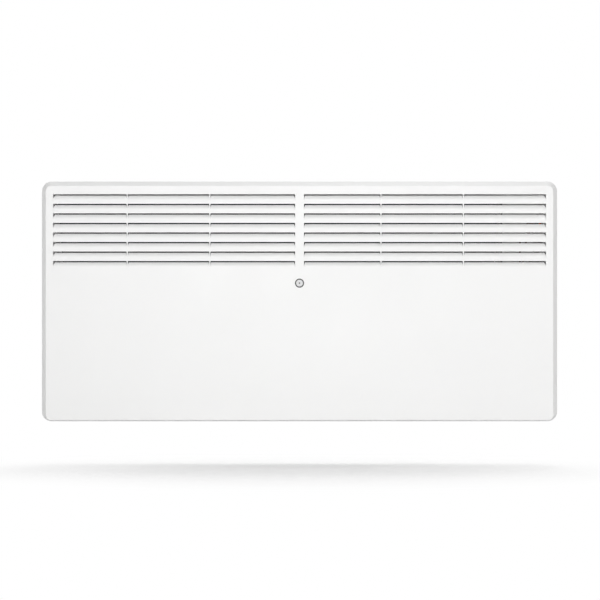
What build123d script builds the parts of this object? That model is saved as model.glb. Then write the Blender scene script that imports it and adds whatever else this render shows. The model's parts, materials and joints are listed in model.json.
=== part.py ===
from build123d import *
import os
from math import asin, atan2, cos, hypot, pi, radians, sin, tan

# Wall panel convector heater, in millimetres.
# X runs to the right as the heater is seen from the room, Y runs towards the wall and Z up.
# The origin is the centre of the four wall screws, on the wall, at the heater's mid-height.

# ---------------------------------------------------------------- driving dimensions
# Casing
CASE_W = 860.0          # width of the front outline
CASE_H = 400.0          # height of the front outline
CASE_D = 80.0           # casing depth, face to back sheet
WALL_GAP = 20.0         # air gap that the bracket keeps behind the back sheet
SHEET = 1.0             # casing sheet steel
CORNER_R = 16.0         # corners of the front outline
FACE_CORNER_R = 9.0     # corners of the flat face, inside the bevel
BEVEL = 7.3             # width of the bevel at the sides and the top
BEVEL_BOTTOM = 2.0      # width of the bevel along the bottom edge
BEVEL_D = 7.0           # depth of the bevel
FRONT_D = 28.0          # depth of the front pan, face to the back of its flange
FLANGE_W = 18.0         # width of the front pan's inward flange
REAR_INSET = 20.0       # how far the rear pan lies inside the front outline
REAR_CORNER_R = 12.0    # corners of the rear pan
LIP_W = 12.0            # width of the rear pan's outward lip
RUN_CLEAR = 0.05        # radial clearance of turning fits
SEAT_CLEAR = 0.3        # clearance round parts that sit in holes
SCREW_CLEAR = 0.1       # radial clearance of screws, rivets and studs in their holes

# Outlet louvres
ROWS = 8
ROW_PITCH = 15.9
FIRST_SLIT = 22.5       # first slit's centre below the top edge
SLIT = 2.0              # open height over each blade
BLADE_R = 10.0          # inner radius of a blade's curl
BLADE_H = 8.0           # height of a blade
COLUMN_MARGIN = 19.5    # from the side edge to the louvres
COLUMN_GAP = 15.0       # plain strip between the two columns
BRIDGE = 2.0            # strip of sheet between neighbouring blades
LEFT_BRIDGES = (123.4, 261.1)    # bridge centres, from the left column's outer end
RIGHT_BRIDGES = (137.6, 274.8)   # bridge centres, from the right column's outer end
OUTER_GAP = 3.3         # widest opening beside a blade, at the column's outer end
INNER_GAP = 1.7         # the same at the column's inner end
BRIDGE_GAP = 1.2        # the same beside a bridge
ROOT_GAP = 0.3          # opening beside a blade at its root

# Inlet slots in the bottom of the rear pan
INLET_L = 22.0
INLET_W = 4.0
INLET_PITCH = 30.0
INLET_ROW_PITCH = 14.0
INLET_ROWS = 3
INLET_END = 30.0        # first slot's centre inside the left flank
INLET_CELL = 14.0       # no slot's centre is nearer to the partition than this

# Stiffening beads in the back sheet
BEAD_W = 12.0
BEAD_D = 1.5
BEAD_OVER = 10.0        # bead's reach past each end of the fins
BEAD_TOP = 22.0         # top bead below the rear pan's top
BEAD_LOW = 14.0         # bottom bead above the rear pan's bottom
BEAD_FOOT = 11.0        # middle bead below the deflector's foot

# Casing screws
SCREW_R = 2.0
SCREW_HEAD_R = 3.6
SCREW_HEAD_H = 2.2
SCREW_L = 6.0
SCREW_INSET = 13.0      # screw line inside the front outline
EDGE_SCREW_COUNT = 5    # screws along the top and along the bottom
SIDE_SCREW_COUNT = 2    # screws along each side
SCREW_END = 60.0        # first screw from the corner, on every side

# Wall bracket
HOLE_X = 400.0          # wall screws, centre to centre across
HOLE_Z = 200.0          # wall screws, centre to centre up
WALL_HOLE_R = 3.0
RAIL_T = 1.5
RAIL_W = 30.0
RAIL_H = 320.0
HOOK_UP_Z = 110.0       # top of the upper hooks' arms
HOOK_DOWN_Z = -110.0    # top of the lower hooks' arms
ARM_H = 8.0
FINGER_H = 10.0
FINGER_T = 3.0
THROAT = 2.4            # room for the back sheet between flange and finger
LIFT = 12.0             # lift that frees the heater
SLOT_W = 4.0
BAR_W = 25.0
BAR_Z = 62.0            # crossbars' height above and below the origin
BAR_LAP = 20.0          # crossbar's lap on each rail
BAR_EDGE = 6.0          # turned edges of a crossbar
RIVET_R = 2.0
RIVET_HEAD_R = 3.5
RIVET_HEAD_H = 1.2

# Control panel on the right flank of the rear pan
PLATE_W = 46.0
PLATE_H = 134.0
PLATE_T = 3.0
PLATE_DOWN = 94.0       # plate's middle below the rear pan's top
KNOB_DOWN = 34.0        # knob below the plate's middle
SWITCH_UP = (0.0, 24.0)     # switches above the plate's middle
LAMP_UP = 46.0          # lamp above the plate's middle
PLATE_R = 4.0
WINDOW_W = 37.0
WINDOW_H = 112.0
KNOB_R = 18.0
KNOB_H = 13.0
KNOB_SKIRT = 3.0
KNOB_TOP_R = 15.5
KNOB_WALL = 3.0
KNOB_CAP = 1.5          # tapered cap over the flutes
KNOB_STEP = 0.3         # from the flutes' bottoms in to the cap
POINTER_W = 2.0
POINTER_H = 0.8         # pointer above the knob's top, and its root below
POINTER_REST = 225.0    # pointer's angle at rest, from the back, turning upwards
KNOB_GAP = 0.4          # from the plate to the knob
FLUTES = 16
FLUTE_R = 1.6
SHAFT_R = 3.0
SHAFT_FLAT = 1.0        # depth of the shaft's flat
BUSH_R = 5.0
BUSH_L = 6.5
BUSH_NUT_R = 8.0
BUSH_NUT_H = 2.2
STAT_W = 34.0
STAT_D = 20.0
SHAFT_IN = 11.0         # shaft's reach behind the plate
TAB_L = 6.0             # push-on tabs of the switches and thermostat
TAB_W = 4.8
TAB_T = 0.8
TAB_PITCH = 6.0
STAT_TAB_Y = 6.5
SWITCH_L = 19.0
SWITCH_W = 12.8
SWITCH_D = 16.0
SWITCH_RIM = 1.1
SWITCH_RIM_T = 1.5
POCKET_D = 9.0
POCKET_WALL = 0.9
ROCKER_L = 15.2
ROCKER_GAP = 0.45       # beside the rocker
ROCKER_TILT = 8.0       # each way from level
ROCKER_RISE = 4.0       # middle of the rocker's top above its pivot
ROCKER_DEEP = 4.0       # rocker's underside below its pivot
ROCKER_SIDE = 1.5       # lower edge of the rocker's ends above its pivot
PIVOT_R = 1.0
PIVOT_OUT = 1.5         # rocker pivot above the plate's inner face
LAMP_R = 4.0
LAMP_L = 16.0
LAMP_LENS_L = 8.0
LAMP_FLANGE = 1.2
LAMP_DOME_H = 2.2
LAMP_DOME_IN = 0.4      # dome inside the neck's radius
PLATE_SCREW_R = 1.5
PLATE_SCREW_HEAD_R = 2.8
PLATE_SCREW_HEAD_H = 1.6
PLATE_SCREW_OUT = 3.0   # screw's reach inside the flank

# Heating element
ELEMENT_LEFT = 80.0     # from the left flank to the fins
ELEMENT_RIGHT = 64.0    # from the fins to the partition
ELEMENT_UP = 70.0       # element's axis above the rear pan's bottom
ELEMENT_Y = -60.0
HUB_R = 8.0
FIN_L = 22.0            # fin's tip from the element's axis
FIN_T = 1.6
RIB_L = 5.0
RIB_T = 1.0
RIB_FIRST = 11.0        # first rib from the axis
RIB_PITCH = 4.5
RIBS = 3
CORE_R = 4.0
CORE_OUT = 14.0         # core's reach past each end of the fins
PIN_R = 1.5
PIN_L = 12.0
CORE_FIT = 0.1          # radial clearance of the core in the fins
BRACKET_OUT = 20.0      # bracket's reach past the element's axis
BRACKET_SCREW_Z = 15.0
INSULATOR_R = 15.0
INSULATOR_T = 5.0
SPIGOT_R = 11.0
SPIGOT_L = 5.0
BRACKET_T = 1.2
BRACKET_W = 50.0
FOOT_L = 16.0
ELEMENT_GAP = 3.0       # from the fins' end to the insulator

# Heat shield, deflector and partition
SHIELD_T = 0.8
SHIELD_END = 15.0       # shield's ends inside the fins' ends
SHIELD_LOW = 10.0       # shield's bottom edge above the rear pan's bottom
SHIELD_TOP = 26.0       # shield's top edge below the deflector's foot
SHIELD_OFF = 8.0        # from the back sheet to the shield
SHIELD_LIP = 6.0
SHIELD_R = 4.0
SPACER_R = 5.0
SPACER_IN = 20.0        # spacers inside the shield's top and bottom edges
SPACER_END = 30.0       # and inside its ends
DEFLECTOR_T = 0.8
DEFLECTOR_DOWN = 134.0       # foot's lower edge below the rear pan's top
DEFLECTOR_FOOT = 18.0        # height of the foot
DEFLECTOR_LEFT = 26.0        # left end inside the front outline
DEFLECTOR_GAP = 2.0          # from the right end to the partition
DEFLECTOR_SCREW_END = 24.0   # first screw from each end
DEFLECTOR_TOP = 24.0         # slope's end, below the top edge
DEFLECTOR_IN = 8.0           # slope's end, behind the face
DEFLECTOR_SCREWS = 5
PARTITION_T = 1.0
PARTITION_END = 4.0     # gap over and under the partition
PARTITION_SCREW_UP = (40.0, 190.0)  # foot's lower screws above the rear pan's bottom
PARTITION_SCREW_DOWN = 30.0         # and its top screw below the pan's top
CELL_W = 76.0           # wiring cell, from the partition to the right flank
PARTITION_IN = 7.0      # partition's front edge behind the face
PARTITION_FOOT = 12.0
SMALL_R = 1.5           # small screws inside the casing
SMALL_HEAD_R = 2.8
SMALL_HEAD_H = 1.8
GROMMET_R = 7.0
GROMMET_BORE_R = 4.3
GROMMET_NECK_R = 5.5
GROMMET_T = 1.8         # thickness of each grommet flange
GROMMET_Y = (-62.0, -34.0)
GROMMET_UP = (105.0, 20.0)      # grommets above the rear pan's bottom

# Wiring, terminals and the mains gland
WIRE_R = 1.3
TAB_LOOP = 7.0          # loops between neighbouring tabs
FEED_LOOP = 17.0        # loops to and from the thermostat
LIVE_LOOP = 12.0
LIVE_RISE = 60.0        # live wire's straight rise from the block
LIVE_LEAN = 30.0        # and the height over which it leans to the tabs
NEUTRAL_RISE = 14.0
NEUTRAL_SIDE = 2.0      # neutral wire's way down, beside the block
NEUTRAL_OUT = 14.0
FAR_LOOP = 12.0
DROP_RISE = 14.0        # straight drop under the cut-out
DROP_LEAN = 18.0
DROP_SIDE = 3.0
BULB_RISE = 25.0
BULB_SIDE = 14.0
BULB_UP = 12.0
BULB_FRONT = 5.0
LIVE_BEND = 12.0        # largest bend of each kind of run
TAB_BEND = 4.0
CELL_BEND = 10.0
BLOCK_IN = 35.0         # block's middle inside the right flank
BLOCK_UP = 95.0         # block's middle above the rear pan's bottom
BLOCK_L = 46.0
BLOCK_W = 22.0
BLOCK_D = 17.0
WAY_PITCH = 13.0
WAY_R = 1.9
WAY_Y = 8.5             # wire holes in front of the back sheet
TERMINAL_Z = 6.0        # terminal screws above and below the block's middle
EARTH_UP = 35.0         # earth stud above the block's middle
EARTH_R = 2.0
EARTH_L = 13.0
EARTH_NUT_R = 4.2
EARTH_NUT_H = 3.2
TAG_T = 0.8
TAG_R = 4.0
CRIMP_R = 2.0
CRIMP_L = 6.0
CLIP_L = 8.0
CLIP_WALL = 1.8         # clip's wall round the wire
CLIP_COUNT = 4
CLIP_END = 30.0         # first clip inside the shield's end
BULB_R = 3.5
BULB_L = 70.0
BULB_HIGH = 155.0       # bulb's middle above the rear pan's bottom
BULB_Y = -80.0
BULB_CLIP_Z = 22.0      # bulb clips above and below its middle
BULB_CLIP_W = 12.0
BULB_CLIP_L = 8.0
BULB_CLIP_WALL = 1.5    # clip's wall round the bulb
BULB_GAP = 1.5          # from the partition to the bulb
CAPILLARY_R = 0.9
CUTOUT_IN = 26.0        # cut-out's middle from the partition
CUTOUT_UP = 66.0        # cut-out's bracket above the element's axis
CUTOUT_R = 8.0
CUTOUT_T = 7.0
CUTOUT_EAR = 15.0       # half the length of the cut-out's ears
CUTOUT_EAR_W = 10.0
CUTOUT_EAR_T = 1.5
CUTOUT_HOLE = 11.5      # ear screws from the cut-out's middle
CUTOUT_FOOT_H = 24.0
CUTOUT_FOOT_W = 22.0
CUTOUT_FOOT_SCREW = 6.0
CUTOUT_SCREW_OUT = 1.5  # screws' reach past the sheets they hold
GLAND_IN = 40.0         # gland inside the right flank
GLAND_R = 8.0           # gland's hole in the bottom of the rear pan
GLAND_CAP_R = 10.5
GLAND_CAP_H = 9.0
GLAND_NUT_H = 5.0
GLAND_NUT_OVER = 4.0    # nut's corners beyond the gland's hole
GLAND_L = 14.0          # threaded length inside the casing
GLAND_BORE_R = 3.7

# ---------------------------------------------------------------- derived places
FACE_Y = -(CASE_D + WALL_GAP)
BACK_Y = -WALL_GAP
BASE_Y = BACK_Y - SHEET             # room side of the back sheet
FLANGE_Y = FACE_Y + FRONT_D         # back of the front pan's flange, front of the lip
LIP_Y = FLANGE_Y + SHEET
HALF_W = CASE_W / 2
HALF_H = CASE_H / 2
REAR_X = HALF_W - REAR_INSET
REAR_Z = HALF_H - REAR_INSET
CONTROL_Y = (LIP_Y + BACK_Y) / 2    # middle of the rear pan's flank
PLATE_FRONT = REAR_X + PLATE_T      # outer face of the control plate
WAY_Y_FACE = BASE_Y - WAY_Y         # middle of the terminal block's wire holes
PARTITION_X = REAR_X - CELL_W
PLATE_Z = REAR_Z - PLATE_DOWN
KNOB_Z = PLATE_Z - KNOB_DOWN
SWITCH_Z = [PLATE_Z + up for up in SWITCH_UP]
LAMP_Z = PLATE_Z + LAMP_UP
ELEMENT_L = PARTITION_X - ELEMENT_RIGHT + REAR_X - ELEMENT_LEFT
ELEMENT_X = ELEMENT_L / 2 - REAR_X + ELEMENT_LEFT
ELEMENT_Z = -REAR_Z + ELEMENT_UP
DEFLECTOR_Z = (REAR_Z - DEFLECTOR_DOWN, REAR_Z - DEFLECTOR_DOWN + DEFLECTOR_FOOT)
DEFLECTOR_X = (-HALF_W + DEFLECTOR_LEFT, PARTITION_X - DEFLECTOR_GAP)
SHIELD_W = ELEMENT_L - 2 * SHIELD_END
SHIELD_EDGES = (-REAR_Z + SHIELD_LOW, DEFLECTOR_Z[0] - SHIELD_TOP)
SHIELD_H = SHIELD_EDGES[1] - SHIELD_EDGES[0]
SHIELD_Z = sum(SHIELD_EDGES) / 2
BEAD_L = ELEMENT_L + 2 * BEAD_OVER
BEAD_Z = (REAR_Z - BEAD_TOP, DEFLECTOR_Z[0] - BEAD_FOOT, -REAR_Z + BEAD_LOW)
PARTITION_H = 2 * (REAR_Z - PARTITION_END)
GROMMET_Z = [-REAR_Z + up for up in GROMMET_UP]
WIRE_LOW_Z = GROMMET_Z[1]           # height of the wire along the bottom
CUTOUT_X = PARTITION_X - CUTOUT_IN
CUTOUT_Z = ELEMENT_Z + CUTOUT_UP
BLOCK_X = REAR_X - BLOCK_IN
BLOCK_Z = -REAR_Z + BLOCK_UP
EARTH_X = BLOCK_X - WAY_PITCH
EARTH_Z = BLOCK_Z + EARTH_UP
GLAND_X = REAR_X - GLAND_IN
BULB_Z = -REAR_Z + BULB_HIGH


# ---------------------------------------------------------------- helpers
def slab(sketch, y_back, y_front):
    """Solid from a sketch drawn in X and Z, between two values of Y."""
    return extrude(Plane.XZ.offset(-y_back) * sketch, amount=y_back - y_front)


def prism(sketch, x_low, x_high):
    """Solid from a sketch drawn in Y and Z, between two values of X."""
    return extrude(Plane.YZ.offset(x_low) * sketch, amount=x_high - x_low)


def column(sketch, z_low, z_high):
    """Solid from a sketch drawn in X and Y, between two values of Z."""
    return extrude(Plane.XY.offset(z_low) * sketch, amount=z_high - z_low)


def block(x, y, z):
    """Box between the low and high values of X, Y and Z."""
    middle = Pos((x[0] + x[1]) / 2, (y[0] + y[1]) / 2, (z[0] + z[1]) / 2)
    return middle * Box(x[1] - x[0], y[1] - y[0], z[1] - z[0])


def outline(side, top, bottom, radius):
    """Rounded rectangle in X and Z, drawn in from the casing's front outline."""
    shape = RectangleRounded(CASE_W - 2 * side, CASE_H - top - bottom, radius)
    return Pos(0, (bottom - top) / 2) * shape


def rear_outline(offset):
    """The rear pan's outline in X and Z, drawn out by offset."""
    inset = REAR_INSET - offset
    return outline(inset, inset, inset, REAR_CORNER_R + offset)


def spread(first, last, count):
    """Evenly spaced values from first to last."""
    return [first + (last - first) * i / (count - 1) for i in range(count)]


TO_WALL = Rot(-90, 0, 0)
TO_ROOM = Rot(90, 0, 0)
TO_RIGHT = Rot(0, 90, 0)
TO_LEFT = Rot(0, -90, 0)


def screw(radius, length, head_r, head_h):
    """Pan-head cross-recess screw on the Z axis, its head standing on Z = 0."""
    head = column(Circle(head_r), 0, head_h)
    head = fillet(head.edges().filter_by(GeomType.CIRCLE).sort_by(Axis.Z)[-1], head_h * 0.45)
    bar = Rectangle(head_r * 1.1, head_h * 0.3)
    cross = column(bar + Rot(0, 0, 90) * bar, head_h * 0.5, head_h + 1)
    return head + column(Circle(radius), -length, 0) - cross


def small_screws(places, seat_y, length):
    """Small screws at (x, z) places with their heads on the room side of seat_y."""
    one = TO_ROOM * screw(SMALL_R, length, SMALL_HEAD_R, SMALL_HEAD_H)
    return [Pos(x, seat_y, z) * one for x, z in places]


def ring(radius, bore, low, high):
    """Round ring on the Z axis."""
    return column(Circle(radius) - Circle(bore), low, high)


def hexagon_nut(radius, bore, height):
    """Hexagon nut on the Z axis, standing on Z = 0."""
    return column(RegularPolygon(radius, 6) - Circle(bore), 0, height)


def tube_route(points, largest):
    """Path of straight runs and arcs, each arc as large as its runs and the limit allow."""
    corners = [Vector(*point) for point in points]
    radii = []
    for before, corner, after in zip(corners, corners[1:], corners[2:]):
        come = corner - before
        leave = after - corner
        half_turn = radians(come.get_angle(leave)) / 2
        radii.append(min(largest, 0.45 * min(come.length, leave.length) / tan(half_turn)))
    return FilletPolyline(*points, radius=radii)


def tube(path, radius):
    """Round solid along a path."""
    section = Plane(origin=path @ 0, z_dir=path % 0) * Circle(radius)
    return sweep(section, path=path)


# ---------------------------------------------------------------- casing
def fold_shift(bevel, wall):
    """How far a folded sheet's inner edge lies inside its outer edge, at the face."""
    return wall * tan(atan2(BEVEL_D, bevel) / 2)


def pan_form(wall):
    """Form of the front pan, drawn in by wall on every side."""
    side = BEVEL + fold_shift(BEVEL, wall)
    bottom = BEVEL_BOTTOM + fold_shift(BEVEL_BOTTOM, wall)
    rim = outline(wall, wall, wall, CORNER_R - wall)
    face = outline(side, side, bottom, FACE_CORNER_R - fold_shift(BEVEL, wall))
    edge_y = FACE_Y + BEVEL_D + fold_shift(BEVEL, wall)
    flank = slab(rim, FLANGE_Y - wall, edge_y)
    crown = loft([Plane.XZ.offset(-edge_y) * rim, Plane.XZ.offset(-FACE_Y - wall) * face],
                 ruled=True)
    return flank + crown


def louvre_bays():
    """Each bay of one louvre row: left end, right end, and the opening beside the blade there."""
    outer = HALF_W - COLUMN_MARGIN
    inner = COLUMN_GAP / 2
    left_cuts = [-outer + distance for distance in LEFT_BRIDGES]
    right_cuts = [outer - distance for distance in reversed(RIGHT_BRIDGES)]
    bays = []
    for low, high, cuts in ((-outer, -inner, left_cuts), (inner, outer, right_cuts)):
        starts = [low] + [cut + BRIDGE / 2 for cut in cuts]
        ends = [cut - BRIDGE / 2 for cut in cuts] + [high]
        gaps = {-outer: OUTER_GAP, outer: OUTER_GAP, -inner: INNER_GAP, inner: INNER_GAP}
        for start, end in zip(starts, ends):
            bays.append((start, end, gaps.get(start, BRIDGE_GAP), gaps.get(end, BRIDGE_GAP)))
    return bays


def row_roots():
    """Height of each row's blade roots, where the blades join the face."""
    first = HALF_H - FIRST_SLIT - SLIT / 2 - BLADE_H
    return [first - ROW_PITCH * row for row in range(ROWS)]


def blade(start, end, start_gap, end_gap):
    """One louvre blade with its root at Z = 0, curled inwards from the face."""
    outer_r = BLADE_R + SHEET
    turn = asin(BLADE_H / outer_r)
    centre = Vector(FACE_Y + outer_r, 0)

    def on_arc(radius, angle):
        return centre + Vector(-radius * cos(angle), radius * sin(angle))

    outside = ThreePointArc(on_arc(outer_r, 0), on_arc(outer_r, turn / 2), on_arc(outer_r, turn))
    tip = Line(on_arc(outer_r, turn), on_arc(BLADE_R, turn))
    inside = ThreePointArc(on_arc(BLADE_R, turn), on_arc(BLADE_R, turn / 2), on_arc(BLADE_R, 0))
    root = Line(on_arc(BLADE_R, 0), on_arc(outer_r, 0))
    strip = prism(make_face([outside, tip, inside, root]), start, end)
    shape = Polygon((start + ROOT_GAP, 0), (end - ROOT_GAP, 0),
                    (end - end_gap, BLADE_H), (start + start_gap, BLADE_H), align=None)
    return strip & slab(shape, FACE_Y + outer_r, FACE_Y - 1)


def front_panel():
    """Pressed steel front: face, bevel, flanks, inward flange and lanced louvres."""
    pan = pan_form(0) - pan_form(SHEET)
    opening = outline(FLANGE_W, FLANGE_W, FLANGE_W, FACE_CORNER_R)
    pan -= slab(opening, FLANGE_Y + 1, FLANGE_Y - SHEET - 1)
    holes = [slab(Pos(x, z) * Circle(SCREW_R + SCREW_CLEAR), FLANGE_Y + 1, FLANGE_Y - SHEET - 1)
             for x, z in casing_screw_places()]
    windows = []
    blades = []
    for start, end, start_gap, end_gap in louvre_bays():
        first = blade(start, end, start_gap, end_gap)
        for root in row_roots():
            windows.append(block((start, end), (FACE_Y - 1, FACE_Y + SHEET + 1),
                                 (root, root + BLADE_H + SLIT)))
            blades.append(Pos(0, 0, root) * first)
    return pan - (holes + windows) + blades


def casing_screw_places():
    """Screws that hold the rear pan's lip to the front pan's flange, as (x, z)."""
    across = spread(-HALF_W + SCREW_END, HALF_W - SCREW_END, EDGE_SCREW_COUNT)
    up = spread(-HALF_H + SCREW_END, HALF_H - SCREW_END, SIDE_SCREW_COUNT)
    places = []
    for way in (-1, 1):
        places += [(x, way * (HALF_H - SCREW_INSET)) for x in across]
        places += [(way * (HALF_W - SCREW_INSET), z) for z in up]
    return places


def casing_screws():
    """The casing screws, put in from behind."""
    one = TO_WALL * screw(SCREW_R, SCREW_L, SCREW_HEAD_R, SCREW_HEAD_H)
    return [Pos(x, LIP_Y, z) * one for x, z in casing_screw_places()]


def hook_places():
    """Middle of each hook: X of its plate and Z of its arm's top."""
    plate_x = HOLE_X / 2 + RAIL_W / 2 - RAIL_T / 2
    return [(way * plate_x, z) for way in (-1, 1) for z in (HOOK_UP_Z, HOOK_DOWN_Z)]


def inlet_places():
    """Middle of each inlet slot in the bottom of the rear pan, as (x, y)."""
    first = -REAR_X + INLET_END
    count = int((PARTITION_X - INLET_CELL - first) / INLET_PITCH) + 1
    rows = [CONTROL_Y + INLET_ROW_PITCH * (row - (INLET_ROWS - 1) / 2)
            for row in range(INLET_ROWS)]
    return [(first + INLET_PITCH * i, y) for y in rows for i in range(count)]


def rear_panel():
    """Pressed steel rear pan: back sheet, flanks and an outward lip behind the flange."""
    pan = slab(rear_outline(0), BACK_Y, FLANGE_Y) + slab(rear_outline(LIP_W), LIP_Y, FLANGE_Y)
    pan -= slab(rear_outline(-SHEET), BASE_Y, FLANGE_Y - 1)
    for z in BEAD_Z:
        # Each bead stands into the casing, and is a groove from behind.
        bead = Pos(ELEMENT_X, z) * SlotOverall(BEAD_L, BEAD_W + 2 * SHEET)
        groove = Pos(ELEMENT_X, z) * SlotOverall(BEAD_L - 2 * SHEET, BEAD_W)
        pan += slab(bead, BACK_Y - SHEET / 2, BASE_Y - BEAD_D)
        pan -= slab(groove, BACK_Y + 1, BACK_Y - BEAD_D)
    slot_h = ARM_H + FINGER_H + 2 * (LIFT - FINGER_H)
    cuts = [block((x - SLOT_W / 2, x + SLOT_W / 2), (BASE_Y - 1, BACK_Y + 1), (z - slot_h, z))
            for x, z in hook_places()]
    cuts += [slab(Pos(x, z) * Circle(SCREW_R + SCREW_CLEAR), LIP_Y + 1, FLANGE_Y - 1)
             for x, z in casing_screw_places()]
    floor = (-REAR_Z - 1, -REAR_Z + SHEET + 1)
    cuts += [column(Pos(x, y) * SlotOverall(INLET_L, INLET_W), *floor) for x, y in inlet_places()]
    cuts.append(column(Pos(GLAND_X, CONTROL_Y) * Circle(GLAND_R), *floor))
    flank = (REAR_X - SHEET - 1, REAR_X + 1)
    cuts.append(prism(Pos(CONTROL_Y, PLATE_Z) * Rectangle(WINDOW_W, WINDOW_H), *flank))
    cuts += [prism(Pos(CONTROL_Y, z) * Circle(PLATE_SCREW_R + SCREW_CLEAR), *flank)
             for z in plate_screw_heights()]
    small = (spacer_places() + deflector_screw_places() + partition_screw_places()
             + bracket_screw_places() + block_screw_places())
    cuts += [slab(Pos(x, z) * Circle(SMALL_R + SCREW_CLEAR), BACK_Y + 1, BASE_Y - 1) for x, z in small]
    cuts.append(slab(Pos(EARTH_X, EARTH_Z) * Circle(EARTH_R + SCREW_CLEAR), BACK_Y + 1, BASE_Y - 1))
    return pan - cuts


# ---------------------------------------------------------------- wall bracket
def rail():
    """One bracket rail at X = 0: a web on the wall and a flange that ends in two hooks."""
    edge_y = -(WALL_GAP - SEAT_CLEAR)
    finger_y = edge_y - THROAT
    flange = Pos(edge_y / 2, 0) * Rectangle(-edge_y, RAIL_H)
    for top in (HOOK_UP_Z, HOOK_DOWN_Z):
        reach = FINGER_T + THROAT
        arm = Pos(edge_y - reach / 2, top - ARM_H / 2) * Rectangle(reach, ARM_H)
        finger_h = ARM_H + FINGER_H
        finger = (Pos(finger_y - FINGER_T / 2, top - ARM_H + finger_h / 2)
                  * Rectangle(FINGER_T, finger_h))
        flange += arm + finger
    web = block((-RAIL_W / 2, RAIL_W / 2), (-RAIL_T, 0), (-RAIL_H / 2, RAIL_H / 2))
    holes = [slab(Pos(0, way * HOLE_Z / 2) * Circle(WALL_HOLE_R), 1, -RAIL_T - 1)
             for way in (-1, 1)]
    holes += [slab(Pos(x, z) * Circle(RIVET_R + SCREW_CLEAR), 1, -RAIL_T - 1) for x, z in rivet_offsets()]
    return web + prism(flange, RAIL_W / 2 - RAIL_T, RAIL_W / 2) - holes


def rivet_offsets():
    """Rivets of one rail, from the rail's middle."""
    x = -RAIL_W / 2 + BAR_LAP / 2
    return [(x, way * BAR_Z + side * BAR_W / 4) for way in (-1, 1) for side in (-1, 1)]


def crossbar():
    """Crossbar at Z = 0: a shallow channel across the rails' webs."""
    half = HOLE_X / 2 - RAIL_W / 2 + BAR_LAP
    bar = block((-half, half), (-2 * RAIL_T, -RAIL_T), (-BAR_W / 2, BAR_W / 2))
    for way in (-1, 1):
        edge = sorted((way * BAR_W / 2, way * (BAR_W / 2 - RAIL_T)))
        bar += block((-half, half), (-RAIL_T - BAR_EDGE, -RAIL_T), edge)
    places = [(way * (HOLE_X / 2 - RAIL_W / 2 + BAR_LAP / 2), side * BAR_W / 4)
              for way in (-1, 1) for side in (-1, 1)]
    return bar - [slab(Pos(x, z) * Circle(RIVET_R + SCREW_CLEAR), 0, -2 * RAIL_T - 1) for x, z in places]


def bracket_rivets():
    """Rivets that join the crossbars to the rails, flush with the wall side."""
    one = rivet(RIVET_R, 2 * RAIL_T - 0.1, RIVET_HEAD_R, RIVET_HEAD_H)
    places = [(way * (HOLE_X / 2 + x), z) for way in (-1, 1) for x, z in rivet_offsets()]
    return [Pos(x, -2 * RAIL_T, z) * TO_ROOM * one for x, z in places]


def rivet(radius, length, head_r, head_h):
    """Domed rivet on the Z axis, its head standing on Z = 0."""
    head = column(Circle(head_r), 0, head_h)
    head = fillet(head.edges().filter_by(GeomType.CIRCLE).sort_by(Axis.Z)[-1], head_h * 0.8)
    return head + column(Circle(radius), -length, 0)


# ---------------------------------------------------------------- control panel
def plate_screw_heights():
    """Heights of the two screws that hold the control plate."""
    reach = (PLATE_H + WINDOW_H) / 4
    return [PLATE_Z - reach, PLATE_Z + reach]


def control_plate():
    """Moulded plate on the right flank that carries the knob, switches and lamp."""
    outer = Pos(CONTROL_Y, PLATE_Z) * RectangleRounded(PLATE_W, PLATE_H, PLATE_R)
    plate = prism(outer, REAR_X, PLATE_FRONT)
    plate = fillet(plate.faces().sort_by(Axis.X)[-1].edges(), PLATE_T / 3)
    through = (REAR_X - 1, PLATE_FRONT + 1)
    cuts = [prism(Pos(CONTROL_Y, KNOB_Z) * Circle(BUSH_R + SEAT_CLEAR), *through)]
    cuts.append(prism(Pos(CONTROL_Y, LAMP_Z) * Circle(LAMP_R + SEAT_CLEAR), *through))
    opening = Rectangle(SWITCH_W + 2 * SEAT_CLEAR, SWITCH_L + 2 * SEAT_CLEAR)
    cuts += [prism(Pos(CONTROL_Y, z) * opening, *through) for z in SWITCH_Z]
    cuts += [prism(Pos(CONTROL_Y, z) * Circle(PLATE_SCREW_R + SCREW_CLEAR), *through)
             for z in plate_screw_heights()]
    return plate - cuts


def plate_screws():
    """The control plate's two screws."""
    one = TO_RIGHT * screw(PLATE_SCREW_R, PLATE_T + SHEET + PLATE_SCREW_OUT, PLATE_SCREW_HEAD_R,
                           PLATE_SCREW_HEAD_H)
    return [Pos(PLATE_FRONT, CONTROL_Y, z) * one for z in plate_screw_heights()]


def thermostat_body():
    """Thermostat case, its threaded bush through the plate, and two push-on tabs."""
    case = prism(Pos(CONTROL_Y, KNOB_Z) * RectangleRounded(STAT_W, STAT_W, PLATE_R),
                 REAR_X - STAT_D, REAR_X)
    bush = prism(Pos(CONTROL_Y, KNOB_Z) * Circle(BUSH_R), REAR_X, REAR_X + BUSH_L)
    bore = prism(Pos(CONTROL_Y, KNOB_Z) * Circle(SHAFT_R + RUN_CLEAR),
                 REAR_X - SHAFT_IN - SEAT_CLEAR, REAR_X + BUSH_L + 1)
    tabs = [tab(REAR_X - STAT_D, CONTROL_Y + way * STAT_TAB_Y, KNOB_Z) for way in (-1, 1)]
    return case + bush + tabs - bore


def tab(x, y, z):
    """Push-on tab behind a control, pointing into the casing from x."""
    return block((x - TAB_L, x), (y - TAB_W / 2, y + TAB_W / 2), (z - TAB_T / 2, z + TAB_T / 2))


def thermostat_nut():
    """Flat hexagon nut on the thermostat's bush."""
    return (Pos(PLATE_FRONT, CONTROL_Y, KNOB_Z) * TO_RIGHT
            * hexagon_nut(BUSH_NUT_R, BUSH_R + SCREW_CLEAR, BUSH_NUT_H))


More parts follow.
